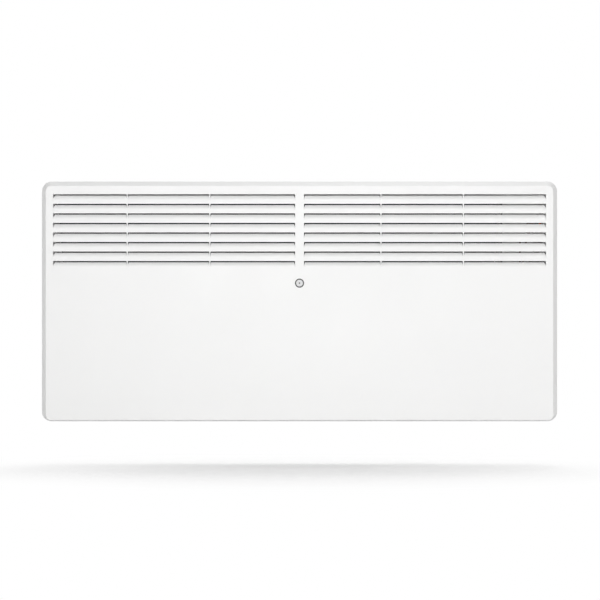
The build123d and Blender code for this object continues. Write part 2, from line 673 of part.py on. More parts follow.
def shaft_section(clearance):
    """The shaft's section, with its flat, drawn out by a clearance."""
    flat = SHAFT_R - SHAFT_FLAT + clearance
    side = 2 * SHAFT_R + 1
    keep = Pos(flat - side / 2, 0) * Rectangle(side, side)
    return Circle(SHAFT_R + clearance) & keep


def knob_end():
    """Inner end of the knob's shaft hole."""
    return PLATE_FRONT + KNOB_GAP + KNOB_H - KNOB_WALL


def thermostat_shaft():
    """Turning shaft: round in the bush, with a flat inside the knob."""
    place = Pos(CONTROL_Y, KNOB_Z)
    plain = prism(place * Circle(SHAFT_R), REAR_X - SHAFT_IN, REAR_X + BUSH_L)
    return plain + prism(place * shaft_section(0), REAR_X + BUSH_L, knob_end() - SEAT_CLEAR)


def thermostat_knob():
    """Fluted knob with a skirt, a hollow for the nut and a raised pointer."""
    place = Pos(CONTROL_Y, KNOB_Z)
    low = PLATE_FRONT + KNOB_GAP
    cap_from = low + KNOB_H - KNOB_CAP
    skirt = prism(place * Circle(KNOB_R), low, low + KNOB_SKIRT)
    flutes = [PolarLocations(KNOB_TOP_R, FLUTES).locations[i] * Circle(FLUTE_R)
              for i in range(FLUTES)]
    grip = prism(place * (Circle(KNOB_TOP_R) - flutes), low + KNOB_SKIRT, cap_from)
    cap_r = KNOB_TOP_R - FLUTE_R - KNOB_STEP
    cap = (Pos(cap_from + KNOB_CAP / 2, CONTROL_Y, KNOB_Z) * TO_RIGHT
           * Cone(cap_r, cap_r - KNOB_CAP, KNOB_CAP))
    hollow = prism(place * Circle(KNOB_TOP_R - KNOB_WALL), low - 1, knob_end())
    stem_from = REAR_X + BUSH_L + SEAT_CLEAR
    stem = prism(place * (Circle(BUSH_R) - shaft_section(RUN_CLEAR)), stem_from, knob_end())
    ridge = Rot(0, 0, POINTER_REST) * Pos(KNOB_TOP_R * 0.45, 0) * Rectangle(KNOB_TOP_R * 0.5,
                                                                            POINTER_W)
    pointer = prism(place * ridge, low + KNOB_H - POINTER_H, low + KNOB_H + POINTER_H)
    return skirt + grip + cap - hollow + stem + pointer


def switch_body(z):
    """Rocker switch case with its rim, pocket, pivot holes and three tabs."""
    rim_top = PLATE_FRONT + SWITCH_RIM_T
    case = prism(Pos(CONTROL_Y, z) * Rectangle(SWITCH_W, SWITCH_L), PLATE_FRONT - SWITCH_D,
                 PLATE_FRONT)
    rim = prism(Pos(CONTROL_Y, z) * RectangleRounded(SWITCH_W + 2 * SWITCH_RIM,
                                                     SWITCH_L + 2 * SWITCH_RIM, SWITCH_RIM),
                PLATE_FRONT, rim_top)
    pocket = prism(Pos(CONTROL_Y, z) * Rectangle(SWITCH_W - 2 * POCKET_WALL,
                                                 SWITCH_L - 2 * POCKET_WALL),
                   rim_top - POCKET_D, rim_top + 1)
    pivot = slab(Pos(REAR_X + PIVOT_OUT, z) * Circle(PIVOT_R + RUN_CLEAR),
                 CONTROL_Y + SWITCH_W / 2 + 1, CONTROL_Y - SWITCH_W / 2 - 1)
    tabs = [tab(PLATE_FRONT - SWITCH_D, CONTROL_Y, z + TAB_PITCH * i) for i in (-1, 0, 1)]
    return case + rim + tabs - pocket - pivot


def rocker(z):
    """Rocker at rest with its lower half pressed in, and its two pivot pins."""
    half_l = ROCKER_L / 2
    half_w = SWITCH_W / 2 - POCKET_WALL - ROCKER_GAP
    end_rise = ROCKER_RISE + half_l * tan(radians(ROCKER_TILT))
    profile = Polygon((ROCKER_SIDE, -half_l), (end_rise, -half_l), (ROCKER_RISE, 0),
                      (end_rise, half_l), (ROCKER_SIDE, half_l), (-ROCKER_DEEP, half_l * 0.4),
                      (-ROCKER_DEEP, -half_l * 0.4), align=None)
    pin_l = SWITCH_W / 2 - 0.1
    shape = slab(profile, half_w, -half_w) + slab(Circle(PIVOT_R), pin_l, -pin_l)
    return Pos(REAR_X + PIVOT_OUT, CONTROL_Y, z) * Rot(0, ROCKER_TILT, 0) * shape


def pilot_lamp_lens():
    """Domed lens with a flange on the plate and a neck through it."""
    place = Pos(PLATE_FRONT, CONTROL_Y, LAMP_Z) * TO_RIGHT
    neck = column(Circle(LAMP_R), -LAMP_LENS_L, 0)
    flange = column(Circle(LAMP_R + 1), 0, LAMP_FLANGE)
    dome = column(Circle(LAMP_R - LAMP_DOME_IN), LAMP_FLANGE, LAMP_FLANGE + LAMP_DOME_H)
    dome = fillet(dome.edges().filter_by(GeomType.CIRCLE).sort_by(Axis.Z)[-1], LAMP_DOME_H * 0.9)
    return place * (neck + flange + dome)


def pilot_lamp_holder():
    """Lamp holder behind the lens."""
    return prism(Pos(CONTROL_Y, LAMP_Z) * Circle(LAMP_R - SEAT_CLEAR), PLATE_FRONT - LAMP_L,
                 PLATE_FRONT - LAMP_LENS_L)


# ---------------------------------------------------------------- heating element
def element_end(way):
    """X of the fins' end on the right (way 1) or the left (way -1)."""
    return ELEMENT_X + way * ELEMENT_L / 2


def between(way, start, end):
    """Low and high X of a piece that lies from start to end past an end of the fins."""
    return sorted((element_end(way) + way * start, element_end(way) + way * end))


def heating_element():
    """Extruded X section: a hub and four ribbed fins."""
    section = Circle(HUB_R)
    for quarter in range(4):
        turn = Rot(0, 0, 45 + 90 * quarter)
        section += turn * Pos(FIN_L / 2, 0) * Rectangle(FIN_L, FIN_T)
        for i in range(RIBS):
            section += turn * Pos(RIB_FIRST + RIB_PITCH * i, 0) * Rectangle(RIB_T, RIB_L)
    section -= Circle(CORE_R + CORE_FIT)
    return prism(Pos(ELEMENT_Y, ELEMENT_Z) * section, element_end(-1), element_end(1))


def element_core():
    """Sheathed heating rod inside the fins."""
    return prism(Pos(ELEMENT_Y, ELEMENT_Z) * Circle(CORE_R), element_end(-1) - CORE_OUT,
                 element_end(1) + CORE_OUT)


def element_pins():
    """Terminal pins at the rod's ends."""
    return [prism(Pos(ELEMENT_Y, ELEMENT_Z) * Circle(PIN_R),
                  *between(way, CORE_OUT, CORE_OUT + PIN_L)) for way in (-1, 1)]


def element_insulator(way):
    """Ceramic insulator: a flange against the bracket and a spigot through it."""
    place = Pos(ELEMENT_Y, ELEMENT_Z)
    flange = prism(place * Circle(INSULATOR_R), *between(way, ELEMENT_GAP,
                                                         ELEMENT_GAP + INSULATOR_T))
    spigot = prism(place * Circle(SPIGOT_R), *between(way, ELEMENT_GAP + INSULATOR_T,
                                                      ELEMENT_GAP + INSULATOR_T + SPIGOT_L))
    bore = prism(place * Circle(CORE_R + SEAT_CLEAR), *between(way, 0, CORE_OUT))
    return flange + spigot - bore


def bracket_screw_places():
    """Screws of the element brackets' feet."""
    reach = ELEMENT_GAP + INSULATOR_T + BRACKET_T + FOOT_L / 2
    return [(element_end(way) + way * reach, ELEMENT_Z + side * BRACKET_SCREW_Z)
            for way in (-1, 1) for side in (-1, 1)]


def element_bracket(way):
    """Bent sheet bracket that holds one insulator off the back sheet."""
    seat = ELEMENT_GAP + INSULATOR_T
    z = (ELEMENT_Z - BRACKET_W / 2, ELEMENT_Z + BRACKET_W / 2)
    plate = block(between(way, seat, seat + BRACKET_T), (ELEMENT_Y - BRACKET_OUT, BASE_Y), z)
    foot = block(between(way, seat, seat + BRACKET_T + FOOT_L), (BASE_Y - BRACKET_T, BASE_Y), z)
    hole = prism(Pos(ELEMENT_Y, ELEMENT_Z) * Circle(SPIGOT_R + SEAT_CLEAR),
                 *between(way, seat - 1, seat + BRACKET_T + 1))
    screws = [slab(Pos(x, z_screw) * Circle(SMALL_R + SCREW_CLEAR), BASE_Y + 1,
                   BASE_Y - BRACKET_T - 1) for x, z_screw in bracket_screw_places()]
    return plate + foot - hole - screws


# ---------------------------------------------------------------- shield, deflector, partition
def spacer_places():
    """Spacers between the heat shield and the back sheet."""
    end = SHIELD_W / 2 - SPACER_END
    up = SHIELD_H / 2 - SPACER_IN
    return [(ELEMENT_X + x, SHIELD_Z + way * up) for x in (-end, 0, end) for way in (-1, 1)]


def heat_shield():
    """Bright sheet that keeps the element's heat off the back, with its long edges turned."""
    front = BASE_Y - SHIELD_OFF - SHIELD_T
    sheet = slab(Pos(ELEMENT_X, SHIELD_Z) * RectangleRounded(SHIELD_W, SHIELD_H, SHIELD_R),
                 BASE_Y - SHIELD_OFF, front)
    lip_x = (ELEMENT_X - SHIELD_W / 2 + SHIELD_R, ELEMENT_X + SHIELD_W / 2 - SHIELD_R)
    for way in (-1, 1):
        edge = SHIELD_Z + way * SHIELD_H / 2
        sheet += block(lip_x, (front - SHIELD_LIP, front), sorted((edge, edge - way * SHIELD_T)))
    return sheet - [slab(Pos(x, z) * Circle(SMALL_R + SCREW_CLEAR), BASE_Y, front - 1)
                    for x, z in spacer_places()]


def shield_spacers():
    """Ceramic spacers behind the heat shield."""
    one = TO_ROOM * ring(SPACER_R, SMALL_R + SCREW_CLEAR, 0, SHIELD_OFF)
    return [Pos(x, BASE_Y, z) * one for x, z in spacer_places()]


def deflector_screw_places():
    """Screws of the air deflector's foot."""
    z = sum(DEFLECTOR_Z) / 2
    return [(x, z) for x in spread(DEFLECTOR_X[0] + DEFLECTOR_SCREW_END,
                                    DEFLECTOR_X[1] - DEFLECTOR_SCREW_END, DEFLECTOR_SCREWS)]


def air_deflector():
    """Sheet that turns the rising air from the back sheet forward to the louvres."""
    low, bend = DEFLECTOR_Z
    top_y = FACE_Y + DEFLECTOR_IN
    top_z = HALF_H - DEFLECTOR_TOP
    run = hypot(top_y - BASE_Y, top_z - bend)
    along = Vector((top_y - BASE_Y) / run, (top_z - bend) / run)
    inside = Vector(-along.Y, along.X) * DEFLECTOR_T    # from the sheet's back to its front
    half_turn = atan2(-along.X, along.Y) / 2
    fold = bend - DEFLECTOR_T * tan(half_turn)
    section = Polygon((BASE_Y, low), (BASE_Y, bend), (top_y, top_z),
                      (top_y + inside.X, top_z + inside.Y),
                      (BASE_Y - DEFLECTOR_T, fold), (BASE_Y - DEFLECTOR_T, low), align=None)
    sheet = prism(section, *DEFLECTOR_X)
    return sheet - [slab(Pos(x, z) * Circle(SMALL_R + SCREW_CLEAR), BASE_Y + 1,
                         BASE_Y - DEFLECTOR_T - 1) for x, z in deflector_screw_places()]


def partition_screw_places():
    """Screws of the partition's foot."""
    x = PARTITION_X + (PARTITION_T + PARTITION_FOOT) / 2
    heights = [-REAR_Z + up for up in PARTITION_SCREW_UP] + [REAR_Z - PARTITION_SCREW_DOWN]
    return [(x, z) for z in heights]


def cutout_foot_places():
    """Screws of the cut-out bracket's foot in the partition, as (y, z)."""
    middle = CUTOUT_Z + CUTOUT_FOOT_H / 2
    return [(GROMMET_Y[0] + way * CUTOUT_FOOT_SCREW, middle) for way in (-1, 1)]


def partition_plate():
    """Partition between the warm air path and the wiring cell."""
    front = FACE_Y + PARTITION_IN
    wide = (PARTITION_X, PARTITION_X + PARTITION_T)
    plate = block(wide, (front, BASE_Y), (-PARTITION_H / 2, PARTITION_H / 2))
    foot = block((PARTITION_X, PARTITION_X + PARTITION_FOOT), (BASE_Y - PARTITION_T, BASE_Y),
                 (-PARTITION_H / 2, PARTITION_H / 2))
    through = (PARTITION_X - 1, PARTITION_X + PARTITION_T + 1)
    cuts = [prism(Pos(y, z) * Circle(GROMMET_NECK_R + SEAT_CLEAR), *through)
            for y, z in zip(GROMMET_Y, GROMMET_Z)]
    cuts += [prism(Pos(y, z) * Circle(SMALL_R + SCREW_CLEAR), *through)
             for y, z in cutout_foot_places()]
    cuts += [slab(Pos(x, z) * Circle(SMALL_R + SCREW_CLEAR), BASE_Y + 1,
                  BASE_Y - PARTITION_T - 1) for x, z in partition_screw_places()]
    return plate + foot - cuts


def wire_grommets():
    """Rubber grommets where wires pass through the partition."""
    low = -GROMMET_T
    high = PARTITION_T + GROMMET_T
    one = (ring(GROMMET_R, GROMMET_BORE_R, low, 0) + ring(GROMMET_R, GROMMET_BORE_R, PARTITION_T,
                                                          high)
           + ring(GROMMET_NECK_R, GROMMET_BORE_R, 0, PARTITION_T))
    return [Pos(PARTITION_X, y, z) * TO_RIGHT * one for y, z in zip(GROMMET_Y, GROMMET_Z)]


def cutout_bracket():
    """Bent bracket on the partition that carries the thermal cut-out."""
    y = GROMMET_Y[0]
    wide = (y - CUTOUT_FOOT_W / 2, y + CUTOUT_FOOT_W / 2)
    foot = block((PARTITION_X - BRACKET_T, PARTITION_X), wide,
                 (CUTOUT_Z - BRACKET_T, CUTOUT_Z + CUTOUT_FOOT_H))
    arm = block((CUTOUT_X - CUTOUT_EAR - 1, PARTITION_X), wide, (CUTOUT_Z - BRACKET_T, CUTOUT_Z))
    cuts = [prism(Pos(y_screw, z) * Circle(SMALL_R + SCREW_CLEAR), PARTITION_X - BRACKET_T - 1,
                  PARTITION_X + 1) for y_screw, z in cutout_foot_places()]
    cuts += [column(Pos(x, y) * Circle(SMALL_R + SCREW_CLEAR), CUTOUT_Z - BRACKET_T - 1,
                    CUTOUT_Z + 1) for x in cutout_ear_places()]
    return foot + arm - cuts


def cutout_ear_places():
    """X of the two screws through the cut-out's ears."""
    return [CUTOUT_X - CUTOUT_HOLE, CUTOUT_X + CUTOUT_HOLE]


def thermal_cutout():
    """Disc cut-out with two ears and two tabs, under its bracket."""
    y = GROMMET_Y[0]
    seat = CUTOUT_Z - BRACKET_T
    ears = column(Pos(CUTOUT_X, y) * SlotOverall(2 * CUTOUT_EAR, CUTOUT_EAR_W),
                  seat - CUTOUT_EAR_T, seat)
    disc = column(Pos(CUTOUT_X, y) * Circle(CUTOUT_R), seat - CUTOUT_EAR_T - CUTOUT_T,
                  seat - CUTOUT_EAR_T)
    low = cutout_tab_z()
    tabs = [block((x - TAB_T / 2, x + TAB_T / 2), (y - TAB_W / 2, y + TAB_W / 2),
                  (low, low + TAB_L)) for x in cutout_tab_places()]
    holes = [column(Pos(x, y) * Circle(SMALL_R + SCREW_CLEAR), seat - CUTOUT_EAR_T - 1, seat + 1)
             for x in cutout_ear_places()]
    return ears + disc + tabs - holes


def cutout_tab_z():
    """Lower end of the cut-out's tabs."""
    return CUTOUT_Z - BRACKET_T - CUTOUT_EAR_T - CUTOUT_T - TAB_L


def cutout_tab_places():
    """X of the cut-out's two tabs."""
    return [CUTOUT_X - CUTOUT_R * 0.6, CUTOUT_X + CUTOUT_R * 0.6]


def cutout_screws():
    """Screws of the cut-out and its bracket."""
    foot_l = BRACKET_T + PARTITION_T + CUTOUT_SCREW_OUT
    ear_l = BRACKET_T + CUTOUT_EAR_T + CUTOUT_SCREW_OUT
    foot = TO_LEFT * screw(SMALL_R, foot_l, SMALL_HEAD_R, SMALL_HEAD_H)
    ear = screw(SMALL_R, ear_l, SMALL_HEAD_R, SMALL_HEAD_H)
    screws = [Pos(PARTITION_X - BRACKET_T, y, z) * foot for y, z in cutout_foot_places()]
    return screws + [Pos(x, GROMMET_Y[0], CUTOUT_Z) * ear for x in cutout_ear_places()]


def sensor_bulb():
    """Thermostat's sensing bulb, upright beside the partition."""
    return column(Pos(*bulb_axis()) * Circle(BULB_R), BULB_Z - BULB_L / 2, BULB_Z + BULB_L / 2)


def bulb_axis():
    """X and Y of the bulb's axis."""
    return PARTITION_X + PARTITION_T + BULB_R + BULB_GAP, BULB_Y


def bulb_clips():
    """Clips that hold the bulb to the partition."""
    x, y = bulb_axis()
    high = x + BULB_R + BULB_CLIP_WALL
    clips = []
    for way in (-1, 1):
        z = BULB_Z + way * BULB_CLIP_Z
        clip = block((PARTITION_X + PARTITION_T, high), (y - BULB_CLIP_W / 2, y + BULB_CLIP_W / 2),
                     (z - BULB_CLIP_L / 2, z + BULB_CLIP_L / 2))
        clips.append(clip - column(Pos(x, y) * Circle(BULB_R + SCREW_CLEAR),
                                   z - BULB_CLIP_L, z + BULB_CLIP_L))
    return clips


# ---------------------------------------------------------------- terminals and mains gland
def block_screw_places():
    """Screws that hold the terminal block."""
    return [(BLOCK_X + way * WAY_PITCH / 2, BLOCK_Z) for way in (-1, 1)]


def terminal_places():
    """Terminal screws, two for each way of the block."""
    return [(BLOCK_X + WAY_PITCH * i, BLOCK_Z + way * TERMINAL_Z)
            for i in (-1, 0, 1) for way in (-1, 1)]


def terminal_block():
    """Three-way terminal block with wire holes from below to above."""
    front = BASE_Y - BLOCK_D
    body = slab(Pos(BLOCK_X, BLOCK_Z) * RectangleRounded(BLOCK_L, BLOCK_W, 2), BASE_Y, front)
    ends = (BLOCK_Z - BLOCK_W / 2 - 1, BLOCK_Z + BLOCK_W / 2 + 1)
    cuts = [column(Pos(BLOCK_X + WAY_PITCH * i, WAY_Y_FACE) * Circle(WAY_R), *ends)
            for i in (-1, 0, 1)]
    cuts += [slab(Pos(x, z) * Circle(SMALL_R + SCREW_CLEAR), BASE_Y + 1, front - 1)
             for x, z in block_screw_places()]
    cuts += [slab(Pos(x, z) * Circle(SMALL_R + SCREW_CLEAR), WAY_Y_FACE, front - 1)
             for x, z in terminal_places()]
    return body - cuts


def terminal_screws():
    """Brass clamping screws of the terminal block."""
    return small_screws(terminal_places(), BASE_Y - BLOCK_D, BLOCK_D - WAY_Y - WAY_R)


def earth_stud():
    """Threaded earth stud in the back sheet."""
    return slab(Pos(EARTH_X, EARTH_Z) * Circle(EARTH_R), BACK_Y - SHEET / 2, BASE_Y - EARTH_L)


def earth_nuts():
    """Nuts under and over the earth tag."""
    under = WAY_Y - CRIMP_R
    bore = EARTH_R + SCREW_CLEAR
    return [Pos(EARTH_X, BASE_Y, EARTH_Z) * TO_ROOM * hexagon_nut(EARTH_NUT_R, bore, under),
            Pos(EARTH_X, BASE_Y - under - TAG_T, EARTH_Z) * TO_ROOM
            * hexagon_nut(EARTH_NUT_R, bore, EARTH_NUT_H)]


def earth_tag():
    """Ring tag on the stud, with its crimp towards the terminal block."""
    seat = BASE_Y - WAY_Y + CRIMP_R
    crimp_top = EARTH_Z - TAG_R - 1
    plate = Circle(TAG_R) + Pos(0, (crimp_top - CRIMP_L / 2 - EARTH_Z) / 2) * Rectangle(
        2 * CRIMP_R, EARTH_Z - crimp_top + CRIMP_L / 2)
    tag = slab(Pos(EARTH_X, EARTH_Z) * plate, seat, seat - TAG_T)
    crimp = column(Pos(EARTH_X, WAY_Y_FACE) * Circle(CRIMP_R), crimp_top - CRIMP_L, crimp_top)
    hole = slab(Pos(EARTH_X, EARTH_Z) * Circle(EARTH_R + SCREW_CLEAR), seat + 1, seat - TAG_T - 1)
    return tag + crimp - hole


def cable_gland():
    """Gland in the bottom of the rear pan: cap outside, thread inside, bore for the cord."""
    place = Pos(GLAND_X, CONTROL_Y)
    cap = column(place * Circle(GLAND_CAP_R), -REAR_Z - GLAND_CAP_H, -REAR_Z)
    cap = fillet(cap.edges().filter_by(GeomType.CIRCLE).sort_by(Axis.Z)[0], GLAND_CAP_H / 4)
    thread = column(place * Circle(GLAND_R - SEAT_CLEAR), -REAR_Z, -REAR_Z + GLAND_L)
    bore = column(place * Circle(GLAND_BORE_R), -REAR_Z - GLAND_CAP_H - 1, -REAR_Z + GLAND_L + 1)
    return cap + thread - bore


def gland_nut():
    """Nut that holds the gland from inside."""
    bore = GLAND_R - SEAT_CLEAR + SCREW_CLEAR
    nut = hexagon_nut(GLAND_R + GLAND_NUT_OVER, bore, GLAND_NUT_H)
    return Pos(GLAND_X, CONTROL_Y, -REAR_Z + SHEET) * nut


def wire_clips():
    """Clips on the heat shield that hold the wire along the bottom."""
    front = BASE_Y - SHIELD_OFF - SHIELD_T
    wire_y = GROMMET_Y[1]
    reach = WIRE_R + CLIP_WALL
    end = SHIELD_W / 2 - CLIP_END
    hole = Pos(wire_y, WIRE_LOW_Z) * Circle(WIRE_R + SCREW_CLEAR)
    return [block((x - CLIP_L / 2, x + CLIP_L / 2), (wire_y - reach, front),
                  (WIRE_LOW_Z - reach, WIRE_LOW_Z + reach))
            - prism(hole, x - CLIP_L, x + CLIP_L) for x in spread(ELEMENT_X - end, ELEMENT_X + end,
                                                                  CLIP_COUNT)]


# ---------------------------------------------------------------- wiring
def wires():
    """Every internal wire and the capillary: its node name, route, radius and largest bend."""
    block_top = BLOCK_Z + BLOCK_W / 2 + SEAT_CLEAR
    live_x = BLOCK_X + WAY_PITCH
    tab_x = PLATE_FRONT - SWITCH_D - TAB_L - SEAT_CLEAR
    low_z, high_z = SWITCH_Z
    stat_x = REAR_X - STAT_D - TAB_L - SEAT_CLEAR
    warm_y, cool_y = GROMMET_Y
    pin_x = element_end(1) + CORE_OUT + PIN_L + SEAT_CLEAR
    far_x = element_end(-1) - CORE_OUT - PIN_L - SEAT_CLEAR
    out_x, in_x = reversed(cutout_tab_places())
    tab_z = cutout_tab_z() - SEAT_CLEAR
    bulb_x, bulb_y = bulb_axis()
    stat_y = CONTROL_Y - STAT_TAB_Y
    case_x = REAR_X - STAT_D - SEAT_CLEAR
    live_back = tab_x - LIVE_LOOP
    live = [(live_x, WAY_Y_FACE, block_top), (live_x, WAY_Y_FACE, block_top + LIVE_RISE),
            (live_back, CONTROL_Y, block_top + LIVE_RISE + LIVE_LEAN),
            (live_back, CONTROL_Y, low_z - TAB_PITCH), (tab_x, CONTROL_Y, low_z - TAB_PITCH)]
    loop_x = tab_x - TAB_LOOP
    link = [(tab_x, CONTROL_Y, low_z + TAB_PITCH), (loop_x, CONTROL_Y, low_z + TAB_PITCH),
            (loop_x, CONTROL_Y, high_z - TAB_PITCH), (tab_x, CONTROL_Y, high_z - TAB_PITCH)]
    lamp_x = PLATE_FRONT - LAMP_L - SEAT_CLEAR
    lamp = [(tab_x, CONTROL_Y, high_z + TAB_PITCH), (loop_x, CONTROL_Y, high_z + TAB_PITCH),
            (loop_x, CONTROL_Y, LAMP_Z), (lamp_x, CONTROL_Y, LAMP_Z)]
    feed_y = CONTROL_Y + STAT_TAB_Y
    feed = [(tab_x, CONTROL_Y, high_z), (tab_x - FEED_LOOP, CONTROL_Y, high_z),
            (tab_x - FEED_LOOP, feed_y, KNOB_Z), (stat_x, feed_y, KNOB_Z)]
    stat_back = stat_x - FEED_LOOP
    to_cutout = [(stat_x, stat_y, KNOB_Z), (stat_back, stat_y, KNOB_Z),
                 (stat_back, warm_y, GROMMET_Z[0]), (out_x, warm_y, GROMMET_Z[0]),
                 (out_x, warm_y, tab_z)]
    drop_z = tab_z - DROP_RISE
    to_element = [(in_x, warm_y, tab_z), (in_x, warm_y, drop_z),
                  (in_x + DROP_SIDE, ELEMENT_Y, drop_z - DROP_LEAN),
                  (in_x + DROP_SIDE, ELEMENT_Y, ELEMENT_Z), (pin_x, ELEMENT_Y, ELEMENT_Z)]
    neutral_z = block_top + NEUTRAL_RISE
    cell_x = BLOCK_X - BLOCK_L / 2 - NEUTRAL_SIDE
    neutral = [(BLOCK_X, WAY_Y_FACE, block_top), (BLOCK_X, WAY_Y_FACE, neutral_z),
               (cell_x, WAY_Y_FACE - NEUTRAL_OUT, neutral_z), (cell_x, cool_y, WIRE_LOW_Z),
               (far_x - FAR_LOOP, cool_y, WIRE_LOW_Z), (far_x - FAR_LOOP, ELEMENT_Y, ELEMENT_Z),
               (far_x, ELEMENT_Y, ELEMENT_Z)]
    crimp_z = EARTH_Z - TAG_R - 1 - CRIMP_L
    earth = [(EARTH_X, WAY_Y_FACE, block_top), (EARTH_X, WAY_Y_FACE, crimp_z - SEAT_CLEAR)]
    bulb_top = BULB_Z + BULB_L / 2 + SEAT_CLEAR
    bulb_in = (stat_y - BULB_FRONT, KNOB_Z + BULB_UP)
    capillary = [(bulb_x, bulb_y, bulb_top), (bulb_x, bulb_y, bulb_top + BULB_RISE),
                 (case_x - BULB_SIDE, *bulb_in), (case_x, *bulb_in)]
    return [("wire_live", live, WIRE_R, LIVE_BEND), ("wire_switch_link", link, WIRE_R, TAB_BEND),
            ("wire_lamp", lamp, WIRE_R, TAB_BEND), ("wire_thermostat_feed", feed, WIRE_R, CELL_BEND),
            ("wire_cutout", to_cutout, WIRE_R, CELL_BEND),
            ("wire_element", to_element, WIRE_R, CELL_BEND),
            ("wire_neutral", neutral, WIRE_R, CELL_BEND), ("wire_earth", earth, WIRE_R, CELL_BEND),
            ("capillary_tube", capillary, CAPILLARY_R, LIVE_BEND)]


def save_wires():
    """Write each wire, and print its length and its volume against section times length."""
    for node, points, radius, largest in wires():
        path = tube_route(points, largest) if len(points) > 2 else Line(*points)
        wire = tube(path, radius)
        share = wire.volume / (pi * radius ** 2 * path.length)
        print(f"{node}: {path.length:.0f} mm long, volume {share:.4f} of section times length")
        save(wire, node)


# ---------------------------------------------------------------- the nodes
def save(shape, node):
    """Write one node's solids to its own STEP file."""
    pieces = shape if isinstance(shape, list) else [shape]
    solids = [solid for piece in pieces for solid in piece.solids()]
    export_step(solids[0] if len(solids) == 1 else Compound(solids), f"parts/{node}.step")


os.makedirs("parts", exist_ok=True)
save(front_panel(), "front_panel")
save(rear_panel(), "rear_panel")
save(casing_screws(), "casing_screws")

for side, way in (("left", -1), ("right", 1)):
    piece = rail() if way > 0 else mirror(rail(), about=Plane.YZ)
    save(Pos(way * HOLE_X / 2, 0, 0) * piece, f"bracket_rail_{side}")
for side, way in (("lower", -1), ("upper", 1)):
    save(Pos(0, 0, way * BAR_Z) * crossbar(), f"bracket_crossbar_{side}")
save(bracket_rivets(), "bracket_rivets")

save(control_plate(), "control_plate")
save(plate_screws(), "control_plate_screws")
save(thermostat_body(), "thermostat_body")
save(thermostat_nut(), "thermostat_nut")
save(thermostat_shaft(), "thermostat_shaft")
save(thermostat_knob(), "thermostat_knob")
for side, height in zip(("lower", "upper"), SWITCH_Z):
    save(switch_body(height), f"switch_body_{side}")
    save(rocker(height), f"switch_rocker_{side}")
save(pilot_lamp_lens(), "pilot_lamp_lens")
save(pilot_lamp_holder(), "pilot_lamp_holder")

save(heating_element(), "heating_element_fins")
save(element_core(), "heating_element_core")
save(element_pins(), "element_pins")
for side, way in (("left", -1), ("right", 1)):
    save(element_insulator(way), f"element_insulator_{side}")
    save(element_bracket(way), f"element_bracket_{side}")

save(heat_shield(), "heat_shield")
save(shield_spacers(), "shield_spacers")
save(small_screws(spacer_places(), BASE_Y - SHIELD_OFF - SHIELD_T,
                  SHIELD_OFF + SHIELD_T + SHEET), "shield_screws")
save(air_deflector(), "air_deflector")
save(partition_plate(), "partition_plate")
save(small_screws(bracket_screw_places(), BASE_Y - BRACKET_T, BRACKET_T + SHEET)
     + small_screws(deflector_screw_places(), BASE_Y - DEFLECTOR_T, DEFLECTOR_T + SHEET)
     + small_screws(partition_screw_places(), BASE_Y - PARTITION_T, PARTITION_T + SHEET),
     "back_sheet_screws")
save(wire_grommets(), "wire_grommets")
save(cutout_bracket(), "cutout_bracket")
save(thermal_cutout(), "thermal_cutout")
save(cutout_screws(), "cutout_screws")
save(sensor_bulb(), "sensor_bulb")
save(bulb_clips(), "bulb_clips")

save(terminal_block(), "terminal_block")
save(terminal_screws(), "terminal_screws")
save(small_screws(block_screw_places(), BASE_Y - BLOCK_D, BLOCK_D + SHEET),
     "terminal_block_screws")
save(earth_stud(), "earth_stud")
save(earth_nuts(), "earth_nuts")
save(earth_tag(), "earth_tag")
save(cable_gland(), "cable_gland")
save(gland_nut(), "gland_nut")
save(wire_clips(), "wire_clips")
save_wires()
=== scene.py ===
# %% [markdown]
# # A wall panel convector heater, dressed in Blender
# The heater is a shallow white steel box that hangs on a wall bracket. Cool air comes in
# through slots underneath, is warmed by a finned element, and leaves through louvres near the
# top of the front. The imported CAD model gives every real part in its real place. This script
# gives each of them its finish, and makes finer versions of what is seen close up.
#
# First come the imports and the frame.

import json
import math

import bmesh
import bpy
from mathutils import Matrix, Vector


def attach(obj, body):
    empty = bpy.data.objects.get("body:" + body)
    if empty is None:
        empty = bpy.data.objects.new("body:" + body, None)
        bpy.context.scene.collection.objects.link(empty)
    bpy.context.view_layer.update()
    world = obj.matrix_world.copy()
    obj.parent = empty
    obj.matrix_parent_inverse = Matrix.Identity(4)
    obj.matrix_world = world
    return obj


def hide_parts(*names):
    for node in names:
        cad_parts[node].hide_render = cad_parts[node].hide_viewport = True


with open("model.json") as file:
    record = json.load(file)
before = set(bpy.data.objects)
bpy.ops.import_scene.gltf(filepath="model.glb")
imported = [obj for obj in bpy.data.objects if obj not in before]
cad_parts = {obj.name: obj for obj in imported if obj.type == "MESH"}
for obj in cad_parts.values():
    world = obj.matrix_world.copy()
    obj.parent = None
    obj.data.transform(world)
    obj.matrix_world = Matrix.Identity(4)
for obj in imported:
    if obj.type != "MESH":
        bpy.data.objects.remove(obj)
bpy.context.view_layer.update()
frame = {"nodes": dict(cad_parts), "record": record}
scene = bpy.context.scene
MM = 0.001

# %% [markdown]
# ## Camera
# The heater is seen square on, as a catalogue shows it. A long lens a few metres away keeps
# the edges parallel and still shows a trace of each bevelled side. The lens follows from how
# wide the picture should be at the front edge of the casing.

# %% Camera
PICTURE_WIDTH = 1.0016      # metres across the square picture, at the front outline
OUTLINE_Y = -0.093
CAMERA_REACH = 3.2          # metres from the front outline to the lens
SENSOR = 36.0
AIM_X, AIM_Z = 0.0008, 0.0023       # the picture's middle, a trace off the heater's own

